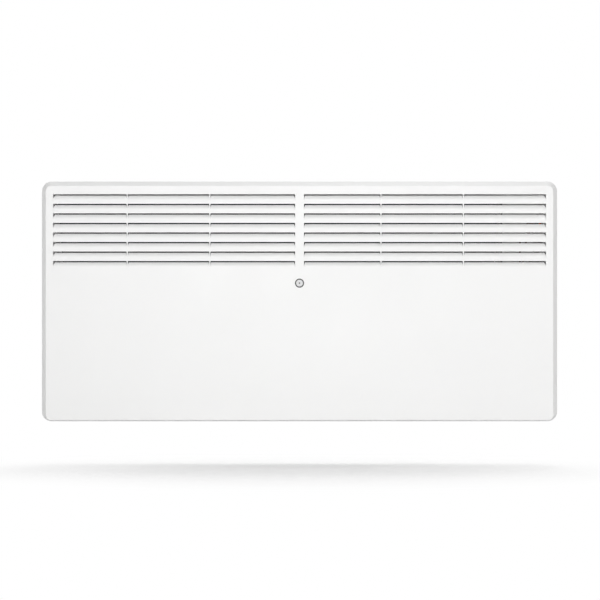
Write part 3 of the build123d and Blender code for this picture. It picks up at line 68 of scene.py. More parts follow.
camera_data = bpy.data.cameras.new("camera")
camera_data.sensor_width = SENSOR
camera_data.lens = SENSOR * CAMERA_REACH / PICTURE_WIDTH
camera = bpy.data.objects.new("camera", camera_data)
camera.location = (AIM_X, OUTLINE_Y - CAMERA_REACH, AIM_Z)
camera.rotation_euler = (math.radians(90), 0, 0)
scene.collection.objects.link(camera)
scene.camera = camera
scene.view_settings.view_transform = "Standard"
print("lens %.1f mm" % camera_data.lens)

# %% [markdown]
# ## Nodes in script
# A material and a Geometry Nodes tree are both node trees. One small helper adds a node, sets
# what belongs to the node itself, and fills or links its inputs, so that a recipe reads from
# top to bottom like a list of steps. Two more give the result of a sum and of a new range.


# %% Helpers for node trees
def add(tree, kind, inputs=None, **settings):
    """Adds a node. Each input gets a value, or a link where the value is another socket."""
    made = tree.nodes.new(kind)
    for key, value in settings.items():
        setattr(made, key, value)
    for key, value in (inputs or {}).items():
        if isinstance(value, bpy.types.NodeSocket):
            tree.links.new(value, made.inputs[key])
        else:
            made.inputs[key].default_value = value
    return made


def calc(tree, operation, first, second=0.0, third=0.0):
    """One Math node's result."""
    return add(tree, "ShaderNodeMath", {0: first, 1: second, 2: third},
               operation=operation).outputs[0]


def remap(tree, value, start=0.0, end=1.0, low=0.0, high=1.0, **settings):
    """A value that runs from start to end, stretched so that it runs from low to high."""
    return add(tree, "ShaderNodeMapRange", {"Value": value, "From Min": start, "From Max": end,
                                            "To Min": low, "To Max": high},
               **settings).outputs[0]


# %% [markdown]
# ## Floor, world and lamps
# The stage is a plain white studio. For the camera the world is plain white, and the floor
# gets a little glow that only the camera sees, so it reads as white paper and keeps the soft
# shadow under the heater. The heater itself is lit by one large lamp in front, one above and
# behind the face, two weak ones behind, and a faint even world. That leaves the bevelled sides
# a shade darker than the face, and the back still has some light when it is looked at.

# %% Floor
FLOOR_Z = -0.275
FLOOR_HALF = 12.0
FLOOR_WHITE = (0.9, 0.9, 0.9, 1)
FLOOR_GLOW = 0.29           # camera only, near the heater
SHADOW_MIDDLE = (0.0, -0.18, FLOOR_Z)
SHADOW_HALF = (0.66, 0.34, 1.0)     # plain white paper outside this ellipse
SHADOW_CORE = 0.1           # the shadow starts to fade from this share of it


def floor_paper():
    made = bpy.data.materials.new("floor_paper")
    made.use_nodes = True
    tree = made.node_tree
    tree.nodes.clear()
    ray = add(tree, "ShaderNodeLightPath").outputs
    paper = add(tree, "ShaderNodeBsdfDiffuse", {"Color": FLOOR_WHITE})
    glow = calc(tree, "MULTIPLY", ray["Is Camera Ray"], FLOOR_GLOW)
    light = add(tree, "ShaderNodeEmission", {"Strength": glow})
    near = add(tree, "ShaderNodeAddShader", {0: paper.outputs[0], 1: light.outputs[0]})
    place = add(tree, "ShaderNodeTexCoord").outputs["Object"]
    middle = add(tree, "ShaderNodeMapping", {"Vector": place, "Location": SHADOW_MIDDLE,
                                             "Scale": SHADOW_HALF}, vector_type="TEXTURE")
    reach = add(tree, "ShaderNodeVectorMath", {0: middle.outputs[0]}, operation="LENGTH")
    away = remap(tree, reach.outputs["Value"], SHADOW_CORE, interpolation_type="SMOOTHSTEP")
    seen = calc(tree, "MAXIMUM", ray["Is Camera Ray"], ray["Is Glossy Ray"])
    share = calc(tree, "MULTIPLY", away, seen)
    white = add(tree, "ShaderNodeEmission", {"Strength": 1.0})
    both = add(tree, "ShaderNodeMixShader", {0: share, 1: near.outputs[0], 2: white.outputs[0]})
    add(tree, "ShaderNodeOutputMaterial", {"Surface": both.outputs[0]})
    return made


floor_mesh = bpy.data.meshes.new("floor")
corners = [(-1, -1), (1, -1), (1, 1), (-1, 1)]
floor_mesh.from_pydata([(x * FLOOR_HALF, y * FLOOR_HALF, FLOOR_Z) for x, y in corners], [],
                       [(0, 1, 2, 3)])
floor_mesh.materials.append(floor_paper())
floor = bpy.data.objects.new("floor", floor_mesh)
scene.collection.objects.link(floor)
print("floor at %.3f m" % FLOOR_Z)

# %% World and lamps
WORLD_FILL = 0.11           # even light on the object
LAMPS = {                   # place, what it looks at, width, watts
    "front_lamp": ((0.15, -5.4, 0.85), (0.1, -0.1, 0.0), 2.2, 192.0),
    "top_lamp": ((0.35, 0.7, 2.5), (0.0, -0.1, -0.1), 1.0, 25.0),
    "left_rear_lamp": ((-3.0, 3.2, 1.2), (0.0, 0.0, 0.0), 2.0, 40.0),
    "right_rear_lamp": ((3.0, 3.2, 1.2), (0.0, 0.0, 0.0), 2.0, 40.0),
}

world = bpy.data.worlds.new("studio")
world.use_nodes = True
scene.world = world
sky = world.node_tree
sky.nodes.clear()
ray = add(sky, "ShaderNodeLightPath").outputs
mirror = calc(sky, "MAXIMUM", ray["Is Camera Ray"], ray["Is Glossy Ray"])
seen = calc(sky, "MAXIMUM", mirror, ray["Is Transmission Ray"])
level = remap(sky, seen, low=WORLD_FILL)
backdrop = add(sky, "ShaderNodeBackground", {"Color": (1, 1, 1, 1), "Strength": level})
add(sky, "ShaderNodeOutputWorld", {"Surface": backdrop.outputs[0]})

for name, (place, aim, width, watts) in LAMPS.items():
    lamp_data = bpy.data.lights.new(name, "AREA")
    lamp_data.shape = "SQUARE"
    lamp_data.size = width
    lamp_data.energy = watts
    lamp = bpy.data.objects.new(name, lamp_data)
    lamp.location = place
    lamp.rotation_euler = (Vector(aim) - Vector(place)).to_track_quat("-Z", "Y").to_euler()
    scene.collection.objects.link(lamp)
print("lamps:", ", ".join(LAMPS))

# %% [markdown]
# ## Finishes
# No real finish is one flat colour. Powder coat has orange peel and dull patches, zinc has
# crystals, rolled and extruded metal has lines along its length, and moulded plastic has a
# spark texture. One recipe covers them all: a base colour with a soft mottle, an uneven
# roughness, an optional grain that a Mapping node stretches along one axis, and a bump of a
# known height. Everything reads Object coordinates in metres, so a scale of 1000 is about one
# wave a millimetre, and the finish stays with the piece wherever it moves.


# %% The finish recipe
MATERIALS = {}              # every finish by its name
CRYSTAL_DARK, CRYSTAL_LIGHT = 0.82, 1.12
CRYSTAL_POLISH = 0.09
COAT_ROUGH = 0.15
PEEL_HEIGHT = 0.00004       # metres from the bump's lowest point to its highest


def shade(colour, factor):
    return tuple(min(1.0, c * factor) for c in colour) + (1.0,)


def noise(tree, place, scale, detail, rough):
    return add(tree, "ShaderNodeTexNoise", {"Vector": place, "Scale": scale, "Detail": detail,
                                            "Roughness": rough}).outputs[0]


def scaled(tree, colour, factor):
    """A colour that is darker under 1 and lighter over it."""
    return add(tree, "ShaderNodeVectorMath", {0: colour, "Scale": factor},
               operation="SCALE").outputs[0]


def finish(name, colour, rough, metallic=0.0, mottle=0.04, mottle_scale=40.0, uneven=0.06,
           peel=0.3, peel_scale=900.0, grain=None, grain_depth=0.08, coat=0.0, spangle=0.0):
    """One finish. grain gives the scale along each axis: a small number is the long way."""
    made = MATERIALS[name] = bpy.data.materials.new(name)
    made.use_nodes = True
    tree = made.node_tree
    tree.nodes.clear()
    place = add(tree, "ShaderNodeTexCoord").outputs["Object"]
    patches = noise(tree, place, mottle_scale, 4.0, 0.6)
    tone = remap(tree, patches, 0.3, 0.7)
    base = add(tree, "ShaderNodeMix", {0: tone, 6: shade(colour, 1 - mottle),
                                       7: shade(colour, 1 + mottle)}, data_type="RGBA").outputs[2]
    gloss = remap(tree, patches, 0.25, 0.75, max(0.02, rough - uneven), rough + uneven)
    if spangle:
        # Zinc crystals: flat patches, each with its own tone and polish.
        cells = add(tree, "ShaderNodeTexVoronoi", {"Vector": place, "Scale": spangle})
        crystal = add(tree, "ShaderNodeSeparateColor", {0: cells.outputs["Color"]}).outputs[0]
        base = scaled(tree, base, remap(tree, crystal, low=CRYSTAL_DARK, high=CRYSTAL_LIGHT))
        turn = remap(tree, crystal, low=-CRYSTAL_POLISH, high=CRYSTAL_POLISH)
        gloss = calc(tree, "ADD", gloss, turn)
    height = noise(tree, place, peel_scale, 2.0, 0.5)
    if grain:
        stretched = add(tree, "ShaderNodeMapping", {"Vector": place, "Scale": grain}).outputs[0]
        lines = noise(tree, stretched, 1.0, 3.0, 0.7)
        mark = remap(tree, lines, 0.3, 0.7, 1 - grain_depth, 1 + grain_depth)
        base = scaled(tree, base, mark)
        height = calc(tree, "ADD", height, lines)
    bump = add(tree, "ShaderNodeBump", {"Strength": peel, "Distance": PEEL_HEIGHT,
                                        "Height": height})
    shader = add(tree, "ShaderNodeBsdfPrincipled", {
        "Base Color": base, "Metallic": metallic, "Roughness": gloss,
        "Normal": bump.outputs[0], "Coat Weight": coat, "Coat Roughness": COAT_ROUGH})
    add(tree, "ShaderNodeOutputMaterial", {"Surface": shader.outputs[0]})
    return made


# %% [markdown]
# ## The paints and metals
# The visible casing is white powder coat: a satin polyester with a fine orange peel. The rear
# pan has a thinner coat. Galvanised sheet has spangles, plated screws are brighter and even,
# the element's aluminium has extrusion lines along X, and its steel sheath is tinted by heat.

# %% Paints and metals
finish("front_paint", (0.865, 0.865, 0.86), 0.44, mottle=0.008, mottle_scale=9.0, uneven=0.05,
       peel=0.35, peel_scale=420.0)
finish("rear_paint", (0.80, 0.80, 0.79), 0.5, mottle=0.02, mottle_scale=14.0, peel=0.5,
       peel_scale=380.0)
finish("casing_screw_zinc", (0.66, 0.67, 0.66), 0.32, 1.0, mottle=0.1, mottle_scale=260.0,
       peel_scale=2400.0)
finish("galvanised_steel", (0.52, 0.54, 0.56), 0.42, 1.0, mottle=0.06, spangle=110.0,
       peel_scale=1400.0)
finish("rivet_steel", (0.58, 0.58, 0.58), 0.36, 1.0, mottle=0.12, mottle_scale=300.0,
       peel_scale=2200.0)
finish("bright_shield", (0.78, 0.79, 0.80), 0.24, 1.0, mottle=0.03, grain=(6.0, 900.0, 900.0),
       grain_depth=0.05, peel=0.2)
finish("zinc_screws", (0.66, 0.66, 0.64), 0.3, 1.0, mottle=0.1, mottle_scale=280.0,
       peel_scale=2600.0)
finish("shaft_steel", (0.5, 0.5, 0.51), 0.3, 1.0, mottle=0.05, grain=(3000.0, 60.0, 60.0),
       peel=0.3)
finish("element_aluminium", (0.56, 0.57, 0.58), 0.46, 1.0, mottle=0.08,
       grain=(8.0, 1500.0, 1500.0), grain_depth=0.12, peel=0.4)
finish("element_sheath", (0.28, 0.25, 0.22), 0.4, 1.0, mottle=0.35, mottle_scale=24.0,
       peel_scale=1500.0)
finish("terminal_brass", (0.62, 0.44, 0.16), 0.34, 1.0, mottle=0.12, mottle_scale=200.0,
       peel_scale=1800.0)
finish("copper", (0.62, 0.28, 0.15), 0.32, 1.0, mottle=0.14, mottle_scale=160.0,
       peel_scale=1800.0)
print("paints and metals:", len(MATERIALS))

# %% [markdown]
# ## The plastics, rubber and ceramic
# Moulded parts differ in polish: the control plate has a spark texture, the rockers are
# polished, the grommets are dull soft rubber and the steatite bushes are glazed. The wire
# sleeves are silicone in brown, blue and green, the colours of live, neutral and earth.

# %% Plastics, rubber and ceramic
finish("control_plastic", (0.63, 0.635, 0.64), 0.5, mottle=0.01, mottle_scale=30.0, peel=0.6,
       peel_scale=2400.0)
finish("knob_plastic", (0.50, 0.50, 0.505), 0.42, mottle=0.015, mottle_scale=60.0, peel=0.4,
       peel_scale=2800.0)
finish("case_plastic", (0.035, 0.035, 0.038), 0.5, mottle=0.2, mottle_scale=120.0, peel=0.6,
       peel_scale=2200.0)
finish("switch_plastic", (0.022, 0.022, 0.024), 0.42, mottle=0.15, mottle_scale=140.0, peel=0.5,
       peel_scale=2600.0)
finish("rocker_plastic", (0.03, 0.03, 0.032), 0.2, mottle=0.1, mottle_scale=150.0, uneven=0.04,
       peel=0.15, peel_scale=1200.0, coat=0.4)
finish("ceramic", (0.78, 0.74, 0.64), 0.3, mottle=0.04, mottle_scale=200.0, peel=0.3,
       peel_scale=1500.0, coat=0.5)
finish("grommet_rubber", (0.028, 0.028, 0.028), 0.7, mottle=0.25, mottle_scale=180.0, peel=0.6,
       peel_scale=2600.0)
finish("nylon", (0.76, 0.74, 0.66), 0.46, mottle=0.03, mottle_scale=140.0, peel=0.3,
       peel_scale=1900.0)
finish("gland_plastic", (0.66, 0.66, 0.65), 0.44, mottle=0.02, mottle_scale=120.0, peel=0.4,
       peel_scale=2400.0)
for sleeve, colour in (("wire_brown", (0.12, 0.045, 0.02)), ("wire_blue", (0.015, 0.09, 0.36)),
                       ("wire_green", (0.16, 0.36, 0.02))):
    finish(sleeve, colour, 0.46, mottle=0.12, mottle_scale=120.0, peel=0.3, peel_scale=2200.0)
print("with plastics, rubber and ceramic:", len(MATERIALS))

# %% [markdown]
# The pilot lamp's lens is clear amber acrylic. It is a Principled shader with some
# transmission, so light passes through it, and a low roughness that varies a little. The
# printed marks are matt ink in three tones.

# %% Lens and printed ink
amber = finish("lamp_lens", (0.95, 0.20, 0.015), 0.12, mottle=0.06, mottle_scale=300.0,
               uneven=0.04, peel=0.1, peel_scale=900.0, coat=0.6)
lens = next(node for node in amber.node_tree.nodes if node.type == "BSDF_PRINCIPLED")
lens.inputs["Transmission Weight"].default_value = 0.3
lens.inputs["IOR"].default_value = 1.49


def ink(name, colour, rough=0.55, mottle=0.04):
    return finish(name, colour, rough, mottle=mottle, mottle_scale=500.0, peel=0.3,
                  peel_scale=2000.0)


GREY_INK = ink("grey_ink", (0.04, 0.04, 0.042), 0.6, 0.1)
WHITE_INK = ink("white_ink", (0.75, 0.75, 0.74))
PALE_INK = ink("pale_ink", (0.72, 0.72, 0.725))
print("with lens and inks:", len(MATERIALS))

# %% [markdown]
# The air deflector stands in the warm air right behind the louvres. Its zinc gets a near black
# colour, much darker than the bracket, as painted shade for the dim inside of the casing, so that
# the slits look dark from the room.

# %% Dark zinc, painted shade
finish("dulled_zinc", (0.085, 0.088, 0.092), 0.62, 0.85, mottle=0.18, mottle_scale=30.0,
       spangle=110.0, peel_scale=1400.0)
print("all finishes:", len(MATERIALS))

# %% [markdown]
# ## Finish on every CAD node
# The record says which material slot each node uses. The node meshes stay as they are: only
# their material changes. A piece that stands for a node is made later and takes its place.

# %% Dress the CAD nodes
SLOT_OF = {part["node"]: part["material_slot"] for part in frame["record"]["subparts"]}
BODY_OF = {node: body for body, nodes in frame["record"]["behaviour"]["bodies"].items()
           for node in nodes}
for node, part in frame["nodes"].items():
    part.data.materials.clear()
    part.data.materials.append(MATERIALS[SLOT_OF[node]])
print("nodes dressed:", len(SLOT_OF), "slots:", len(set(SLOT_OF.values())))

# %% [markdown]
# ## Helpers that finish a piece
# Every piece ends the same way: its mesh becomes an object at the origin, it gets a finish,
# it rides on a body of the frame, and it may stand for one or more CAD nodes. Shading is
# smooth except where two faces meet at a real edge.


# %% Helpers for pieces
def mark_edges(mesh, degrees):
    """Smooth shading, with sharp edges where the faces turn by more than the angle.
    Edges that were sharp before, such as those where a fold meets a flat, stay sharp."""
    kept = [edge.index for edge in mesh.edges if edge.use_edge_sharp]
    mesh.polygons.foreach_set("use_smooth", [True] * len(mesh.polygons))
    mesh.set_sharp_from_angle(angle=math.radians(degrees))
    for index in kept:
        mesh.edges[index].use_edge_sharp = True
    mesh.update()


def finished(name, mesh, material, body, stands_for=()):
    """Makes the object of one finished piece and tells the frame what it is."""
    mesh.name = name
    mesh.materials.clear()
    mesh.materials.append(material)
    piece = bpy.data.objects.new(name, mesh)
    scene.collection.objects.link(piece)
    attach(piece, body)
    if stands_for:
        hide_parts(*stands_for)
    print("%-24s %6d faces" % (name, len(mesh.polygons)))


def plain_mesh(host):
    """The evaluated mesh of an object with its modifiers, as plain data. The host goes."""
    bpy.context.view_layer.update()
    seen = host.evaluated_get(bpy.context.evaluated_depsgraph_get())
    mesh = bpy.data.meshes.new_from_object(seen)
    bpy.data.objects.remove(host)
    return mesh


def hosted(mesh):
    host = bpy.data.objects.new("host", mesh)
    scene.collection.objects.link(host)
    return host


def as_mesh(form, name):
    """The mesh of a bmesh, which is freed."""
    mesh = bpy.data.meshes.new(name)
    form.to_mesh(mesh)
    form.free()
    return mesh


def joined(meshes):
    """One mesh out of several. The meshes themselves stay."""
    whole = bmesh.new()
    for mesh in meshes:
        whole.from_mesh(mesh)
    result = meshes[0].copy()
    whole.to_mesh(result)
    whole.free()
    return result


# %% [markdown]
# ## The front cover
# The front is one sheet of 1 mm steel. Its face is folded back all round: a 45 degree bevel
# at the sides and the top, a narrow steep one along the bottom, then a flank and an inward
# flange. The real folds have a small radius, and that radius catches the light as a thin
# soft line. The sheet could be a bevelled box, but its bevel differs from side to side, so it
# is built as rings: one profile with round folds for the sides, one for the bottom, and a
# rounded rectangle drawn through each pair of profile points.

# %% Profile of the cover
HALF_W, HALF_H = 430.0, 200.0
FACE_Y = -99.96             # a hair inside the box, so that the print can lie on top
EDGE_Y = -93.0
FLANGE_Y = -72.0
FLANGE_W = 18.0
BEVEL_SIDE, BEVEL_BOTTOM = 7.3, 2.0
RIM_CORNER, FACE_CORNER = 16.0, 9.0
FACE_RING = 2.6             # plain ring of face inside the last fold
FOLD_RADII = (1.6, 1.0, 1.0)
FOLD_STEPS = 5
SHEET = 1.0


def rounded_profile(points, radii, steps):
    """A polyline with its inner corners turned into arcs of the given radii."""
    result = [Vector(points[0])]
    for before, corner, after, radius in zip(points, points[1:], points[2:], radii):
        corner = Vector(corner)
        back = (Vector(before) - corner).normalized()
        ahead = (Vector(after) - corner).normalized()
        half = back.angle(ahead) / 2
        middle = corner + (back + ahead).normalized() * radius / math.sin(half)
        start = corner + back * radius / math.tan(half) - middle
        end = corner + ahead * radius / math.tan(half) - middle
        for step in range(steps + 1):
            result.append(middle + start.slerp(end, step / steps))
    return result + [Vector(points[-1])]


def cover_profile(bevel):
    """Inset and depth of the cover's outer skin, from the flange's edge to the face."""
    points = [(FLANGE_W, FLANGE_Y), (0, FLANGE_Y), (0, EDGE_Y), (bevel, FACE_Y),
              (bevel + FACE_RING, FACE_Y)]
    return rounded_profile(points, FOLD_RADII, FOLD_STEPS)


side_profile = cover_profile(BEVEL_SIDE)
bottom_profile = cover_profile(BEVEL_BOTTOM)
print("profile points:", len(side_profile))

# %% Rings of the cover
CORNER_STEPS = 12
CORNER_TIGHTENS = 0.3       # how fast the corners tighten past the bevel


def corner_radius(inset, bevel):
    """The corners tighten from the rim to the face as the bevel runs inwards."""
    share = min(inset / bevel, 1.0)
    past = max(inset - bevel, 0.0)
    return RIM_CORNER + (FACE_CORNER - RIM_CORNER) * share - past * CORNER_TIGHTENS


def cover_ring(side, bottom):
    """One ring of points round the cover, counter-clockwise as the room sees it."""
    ring = []
    for corner, (way_x, way_z) in enumerate(((1, 1), (-1, 1), (-1, -1), (1, -1))):
        for step in range(CORNER_STEPS + 1):
            share = step / CORNER_STEPS
            toward = 0.0 if way_z > 0 else (share if way_x < 0 else 1 - share)
            low = side.lerp(bottom, toward)
            radius = corner_radius(side.x, BEVEL_SIDE)
            inset_z = side.x if way_z > 0 else bottom.x
            angle = math.radians(90 * (corner + share))
            x = way_x * (HALF_W - side.x - radius) + radius * math.cos(angle)
            z = way_z * (HALF_H - inset_z - radius) + radius * math.sin(angle)
            ring.append((x * MM, low.y * MM, z * MM))
    return ring


rings = [cover_ring(side, bottom) for side, bottom in zip(side_profile, bottom_profile)]
print("points in a ring:", len(rings[0]))

# %% [markdown]
# ## The louvres' windows
# Eight rows of blades are lanced out of the face, in two columns. Thin bridges of sheet cut
# each row into bays. Before the blades go in, the face needs a window for each of them. The
# windows and the inner ring are drawn as edges, and the plane between them is filled.

# %% Bays and rows
OUTER_X, INNER_X = 410.5, 7.5
BRIDGES = {-1: (-287.1, -149.4), 1: (135.7, 272.9)}      # bridge centres of each column
BRIDGE_W = 2.0
OUTER_GAP, INNER_GAP, BRIDGE_GAP, ROOT_GAP = 3.3, 1.9, 1.2, 0.1
GAP_FLARE = 2.4
ROWS, ROW_PITCH, TOP_ROOT = 8, 15.9, 168.5
BLADE_H, SLIT, BLADE_R = 8.0, 2.0, 10.0


def louvre_bays():
    """Left end, right end and the gap at each end, of the six bays of a row."""
    bays = []
    for way, cuts in BRIDGES.items():
        low, high = (-OUTER_X, -INNER_X) if way < 0 else (INNER_X, OUTER_X)
        low_gap, high_gap = (OUTER_GAP, INNER_GAP) if way < 0 else (INNER_GAP, OUTER_GAP)
        starts = [low] + [cut + BRIDGE_W / 2 for cut in cuts]
        ends = [cut - BRIDGE_W / 2 for cut in cuts] + [high]
        start_gaps = [low_gap] + [BRIDGE_GAP] * len(cuts)
        end_gaps = [BRIDGE_GAP] * len(cuts) + [high_gap]
        bays += zip(starts, ends, start_gaps, end_gaps)
    return bays


windows = [(start, end, TOP_ROOT - ROW_PITCH * row, TOP_ROOT - ROW_PITCH * row + BLADE_H + SLIT)
           for start, end, _, _ in louvre_bays() for row in range(ROWS)]
print("bays:", len(louvre_bays()), "windows:", len(windows))


# %% The folded sheet
def folded_sheet():
    sheet = bmesh.new()
    loops = [[sheet.verts.new(point) for point in ring] for ring in rings]
    count = len(loops[0])
    for low, high in zip(loops, loops[1:]):
        for i in range(count):
            j = (i + 1) % count
            sheet.faces.new((low[i], low[j], high[j], high[i]))
    # The rings where a fold starts and ends stay sharp, so the flats beside it shade flat.
    folds = [1 + (FOLD_STEPS + 1) * fold + end * FOLD_STEPS
             for fold in range(len(FOLD_RADII)) for end in (0, 1)]
    for level in folds:
        for i in range(count):
            edge = sheet.edges.get((loops[level][i], loops[level][(i + 1) % count]))
            edge.smooth = False
    rim = loops[-1]
    border = [sheet.edges.get((rim[i], rim[(i + 1) % count])) for i in range(count)]
    for left, right, low, high in windows:
        corners = [sheet.verts.new((x * MM, FACE_Y * MM, z * MM))
                   for x, z in ((left, low), (right, low), (right, high), (left, high))]
        border += [sheet.edges.new((corners[i], corners[(i + 1) % 4])) for i in range(4)]
    filled = bmesh.ops.triangle_fill(sheet, edges=border, use_beauty=True,
                                     normal=(0.0, -1.0, 0.0))
    inward = [face for face in filled["geom"]
              if isinstance(face, bmesh.types.BMFace) and face.normal.y > 0]
    bmesh.ops.reverse_faces(sheet, faces=inward)
    return as_mesh(sheet, "folded_sheet")


cover_skin = folded_sheet()
host = hosted(cover_skin)
wall = host.modifiers.new("wall", "SOLIDIFY")
wall.thickness = SHEET * MM
wall.offset = -1.0
wall.use_even_offset = True
cover = plain_mesh(host)
print("cover:", len(cover.polygons), "faces")

# %% [markdown]
# ## Geometry Nodes helper
# Parts that repeat are grown by Geometry Nodes. Each tree has named inputs for its sizes.
# A tree is put on a host, its inputs are set by their identifiers, and the evaluated result
# is taken as a plain mesh.


# %% Trees with named inputs
def new_tree(name, inputs):
    """A Geometry Nodes tree with named inputs. Returns the tree and its input sockets."""
    tree = bpy.data.node_groups.new(name, "GeometryNodeTree")
    tree.is_modifier = True
    tree.interface.new_socket("Geometry", in_out="INPUT", socket_type="NodeSocketGeometry")
    for key, kind in inputs.items():
        tree.interface.new_socket(key, in_out="INPUT", socket_type="NodeSocket" + kind)
    tree.interface.new_socket("Geometry", in_out="OUTPUT", socket_type="NodeSocketGeometry")
    source = tree.nodes.new("NodeGroupInput")
    return tree, {socket.name: socket for socket in source.outputs}


def xyz(tree, x=0.0, y=0.0, z=0.0):
    """A vector made of three numbers."""
    return add(tree, "ShaderNodeCombineXYZ", {0: x, 1: y, 2: z}).outputs[0]


def close_tree(tree, geometry, material):
    """Realizes the instances, sets the material and ends the tree."""
    real = add(tree, "GeometryNodeRealizeInstances", {0: geometry})
    painted = add(tree, "GeometryNodeSetMaterial", {"Geometry": real.outputs[0],
                                                    "Material": material})
    add(tree, "NodeGroupOutput", {0: painted.outputs[0]})
    return tree


def grow(tree, values, mesh=None):
    """Evaluates a tree with the given input values and returns a plain mesh."""
    host = hosted(mesh or bpy.data.meshes.new("seed"))
    modifier = host.modifiers.new("grow", "NODES")
    modifier.node_group = tree
    for item in tree.interface.items_tree:
        if item.in_out == "INPUT" and item.name in values:
            modifier[item.identifier] = values[item.name]
    return plain_mesh(host)


# %% [markdown]
# ## The louvre blades
# A blade is a strip of the face, cut free at its top and ends and curled inwards, so air
# leaves upwards and no finger gets in. It could be modelled once and copied 48 times by hand,
# but its shape follows a rule: an arc in section, and ends that lean in towards the tip. The
# tree bends a thin grid cube by that rule, puts it on a line of points, one for each row, and
# runs once for each bay.


# %% Tree of the louvre blades
BLADE_GRID = {"Vertices X": 3, "Vertices Y": 11, "Vertices Z": 2}   # along, up and through


def blade_tree():
    sizes = ("Start", "End", "Start Gap", "End Gap", "Root Gap", "Height", "Radius", "Sheet",
             "Face Y", "Top Root", "Pitch", "Flare")
    tree, take = new_tree("louvre_blades", dict.fromkeys(sizes, "Float")
                          | {"Rows": "Int", "Paint": "Material"})
    cube = add(tree, "GeometryNodeMeshCube", {"Size": (1, 1, 1)} | BLADE_GRID)
    place = add(tree, "GeometryNodeInputPosition").outputs[0]
    part = add(tree, "ShaderNodeSeparateXYZ", {0: place}).outputs
    along, up, out = (calc(tree, "ADD", part[i], 0.5) for i in range(3))
    outer = calc(tree, "ADD", take["Radius"], take["Sheet"])
    turn = calc(tree, "ARCSINE", calc(tree, "DIVIDE", take["Height"], outer))
    angle = calc(tree, "MULTIPLY", up, turn)
    radius = calc(tree, "MULTIPLY_ADD", out, take["Sheet"], take["Radius"])
    sine = calc(tree, "SINE", angle)
    rise = calc(tree, "DIVIDE", calc(tree, "MULTIPLY", outer, sine), take["Height"])
    flare = calc(tree, "POWER", rise, take["Flare"])
    ends = []
    for key, way in (("Start", 1.0), ("End", -1.0)):
        lean = calc(tree, "SUBTRACT", take[key + " Gap"], take["Root Gap"])
        gap = calc(tree, "MULTIPLY_ADD", flare, lean, take["Root Gap"])
        ends.append(calc(tree, "MULTIPLY_ADD", gap, way, take[key]))
    length = calc(tree, "SUBTRACT", ends[1], ends[0])
    x = calc(tree, "MULTIPLY_ADD", along, length, ends[0])
    depth = calc(tree, "MULTIPLY", radius, calc(tree, "COSINE", angle))
    y = calc(tree, "SUBTRACT", calc(tree, "ADD", take["Face Y"], outer), depth)
    z = calc(tree, "MULTIPLY", radius, sine)
    curled = add(tree, "GeometryNodeSetPosition", {"Geometry": cube.outputs["Mesh"],
                                                   "Position": xyz(tree, x, y, z)})
    down = calc(tree, "MULTIPLY", take["Pitch"], -1.0)
    rows = add(tree, "GeometryNodeMeshLine", {
        "Count": take["Rows"], "Start Location": xyz(tree, z=take["Top Root"]),
        "Offset": xyz(tree, z=down)})
    blades = add(tree, "GeometryNodeInstanceOnPoints", {"Points": rows.outputs[0],
                                                        "Instance": curled.outputs[0]})
    return close_tree(tree, blades.outputs[0], take["Paint"])


# %% Grow the blades bay by bay
louvres = blade_tree()
bay_meshes = []
for start, end, start_gap, end_gap in louvre_bays():
    sizes = {"Start": start, "End": end, "Start Gap": start_gap, "End Gap": end_gap,
             "Root Gap": ROOT_GAP, "Height": BLADE_H, "Radius": BLADE_R, "Sheet": SHEET,
             "Face Y": FACE_Y, "Top Root": TOP_ROOT, "Pitch": ROW_PITCH}
    values = {key: size * MM for key, size in sizes.items()}
    values |= {"Rows": ROWS, "Flare": GAP_FLARE, "Paint": MATERIALS["front_paint"]}
    bay_meshes.append(grow(louvres, values))
blades = joined(bay_meshes)
print("blades:", len(blades.polygons), "faces in", len(bay_meshes), "bays")

# %% [markdown]
# The folded sheet and its blades are one piece of steel, so they become one piece here too,
# in the same paint. It stands for the CAD node of the front.

# %% The front as one piece
front = joined([cover, blades])
mark_edges(front, degrees=28.0)
finished("front_cover", front, MATERIALS["front_paint"], "heater", ["front_panel"])

# %% [markdown]
# ## The small printed mark
# On the centre line, just under the louvres, the front has a little round print: a plain ring
# round a pale disc with a dot, in grey ink. Ink is a few hundredths of a millimetre thick, so
# the ring is a thin raised mesh. It could be a pattern in the paint, but as a mesh it keeps a
# crisp edge at any distance.

# %% Printed ring
MARK_AT = (0.0, 30.4)
MARK_TOP_Y = -100.0
MARK_THICK = 0.035
MARK_STEPS = 64


def printed_band(inner, outer):
    """A flat printed ring, or a disc when inner is 0."""
    band = bmesh.new()
    loops = []
    for y in (MARK_TOP_Y + MARK_THICK, MARK_TOP_Y):
        for radius in (inner, outer):
            circle = []
            for step in range(MARK_STEPS if radius else 1):
                angle = math.tau * step / MARK_STEPS
                circle.append(band.verts.new(((MARK_AT[0] + radius * math.cos(angle)) * MM, y * MM,
                                              (MARK_AT[1] + radius * math.sin(angle)) * MM)))
            loops.append(circle)
    back_in, back_out, front_in, front_out = loops
    for i in range(MARK_STEPS):
        j = (i + 1) % MARK_STEPS
        band.faces.new((back_out[i], back_out[j], front_out[j], front_out[i]))
        if inner:
            band.faces.new((front_in[i], front_out[i], front_out[j], front_in[j]))
            band.faces.new((back_in[j], back_out[j], back_out[i], back_in[i]))
            band.faces.new((front_in[j], back_in[j], back_in[i], front_in[i]))
        else:
            band.faces.new((front_in[0], front_out[i], front_out[j]))
            band.faces.new((back_in[0], back_out[j], back_out[i]))
    bmesh.ops.recalc_face_normals(band, faces=band.faces)
    return as_mesh(band, "band")


RING_R, DISC_R, DOT_R = (5.6, 7.6), (1.3, 5.2), (0.0, 1.2)      # inner and outer radius
ring_print = joined([printed_band(*RING_R), printed_band(*DOT_R)])
finished("printed_ring", ring_print, GREY_INK, "heater")
finished("printed_disc", printed_band(*DISC_R), PALE_INK, "heater")

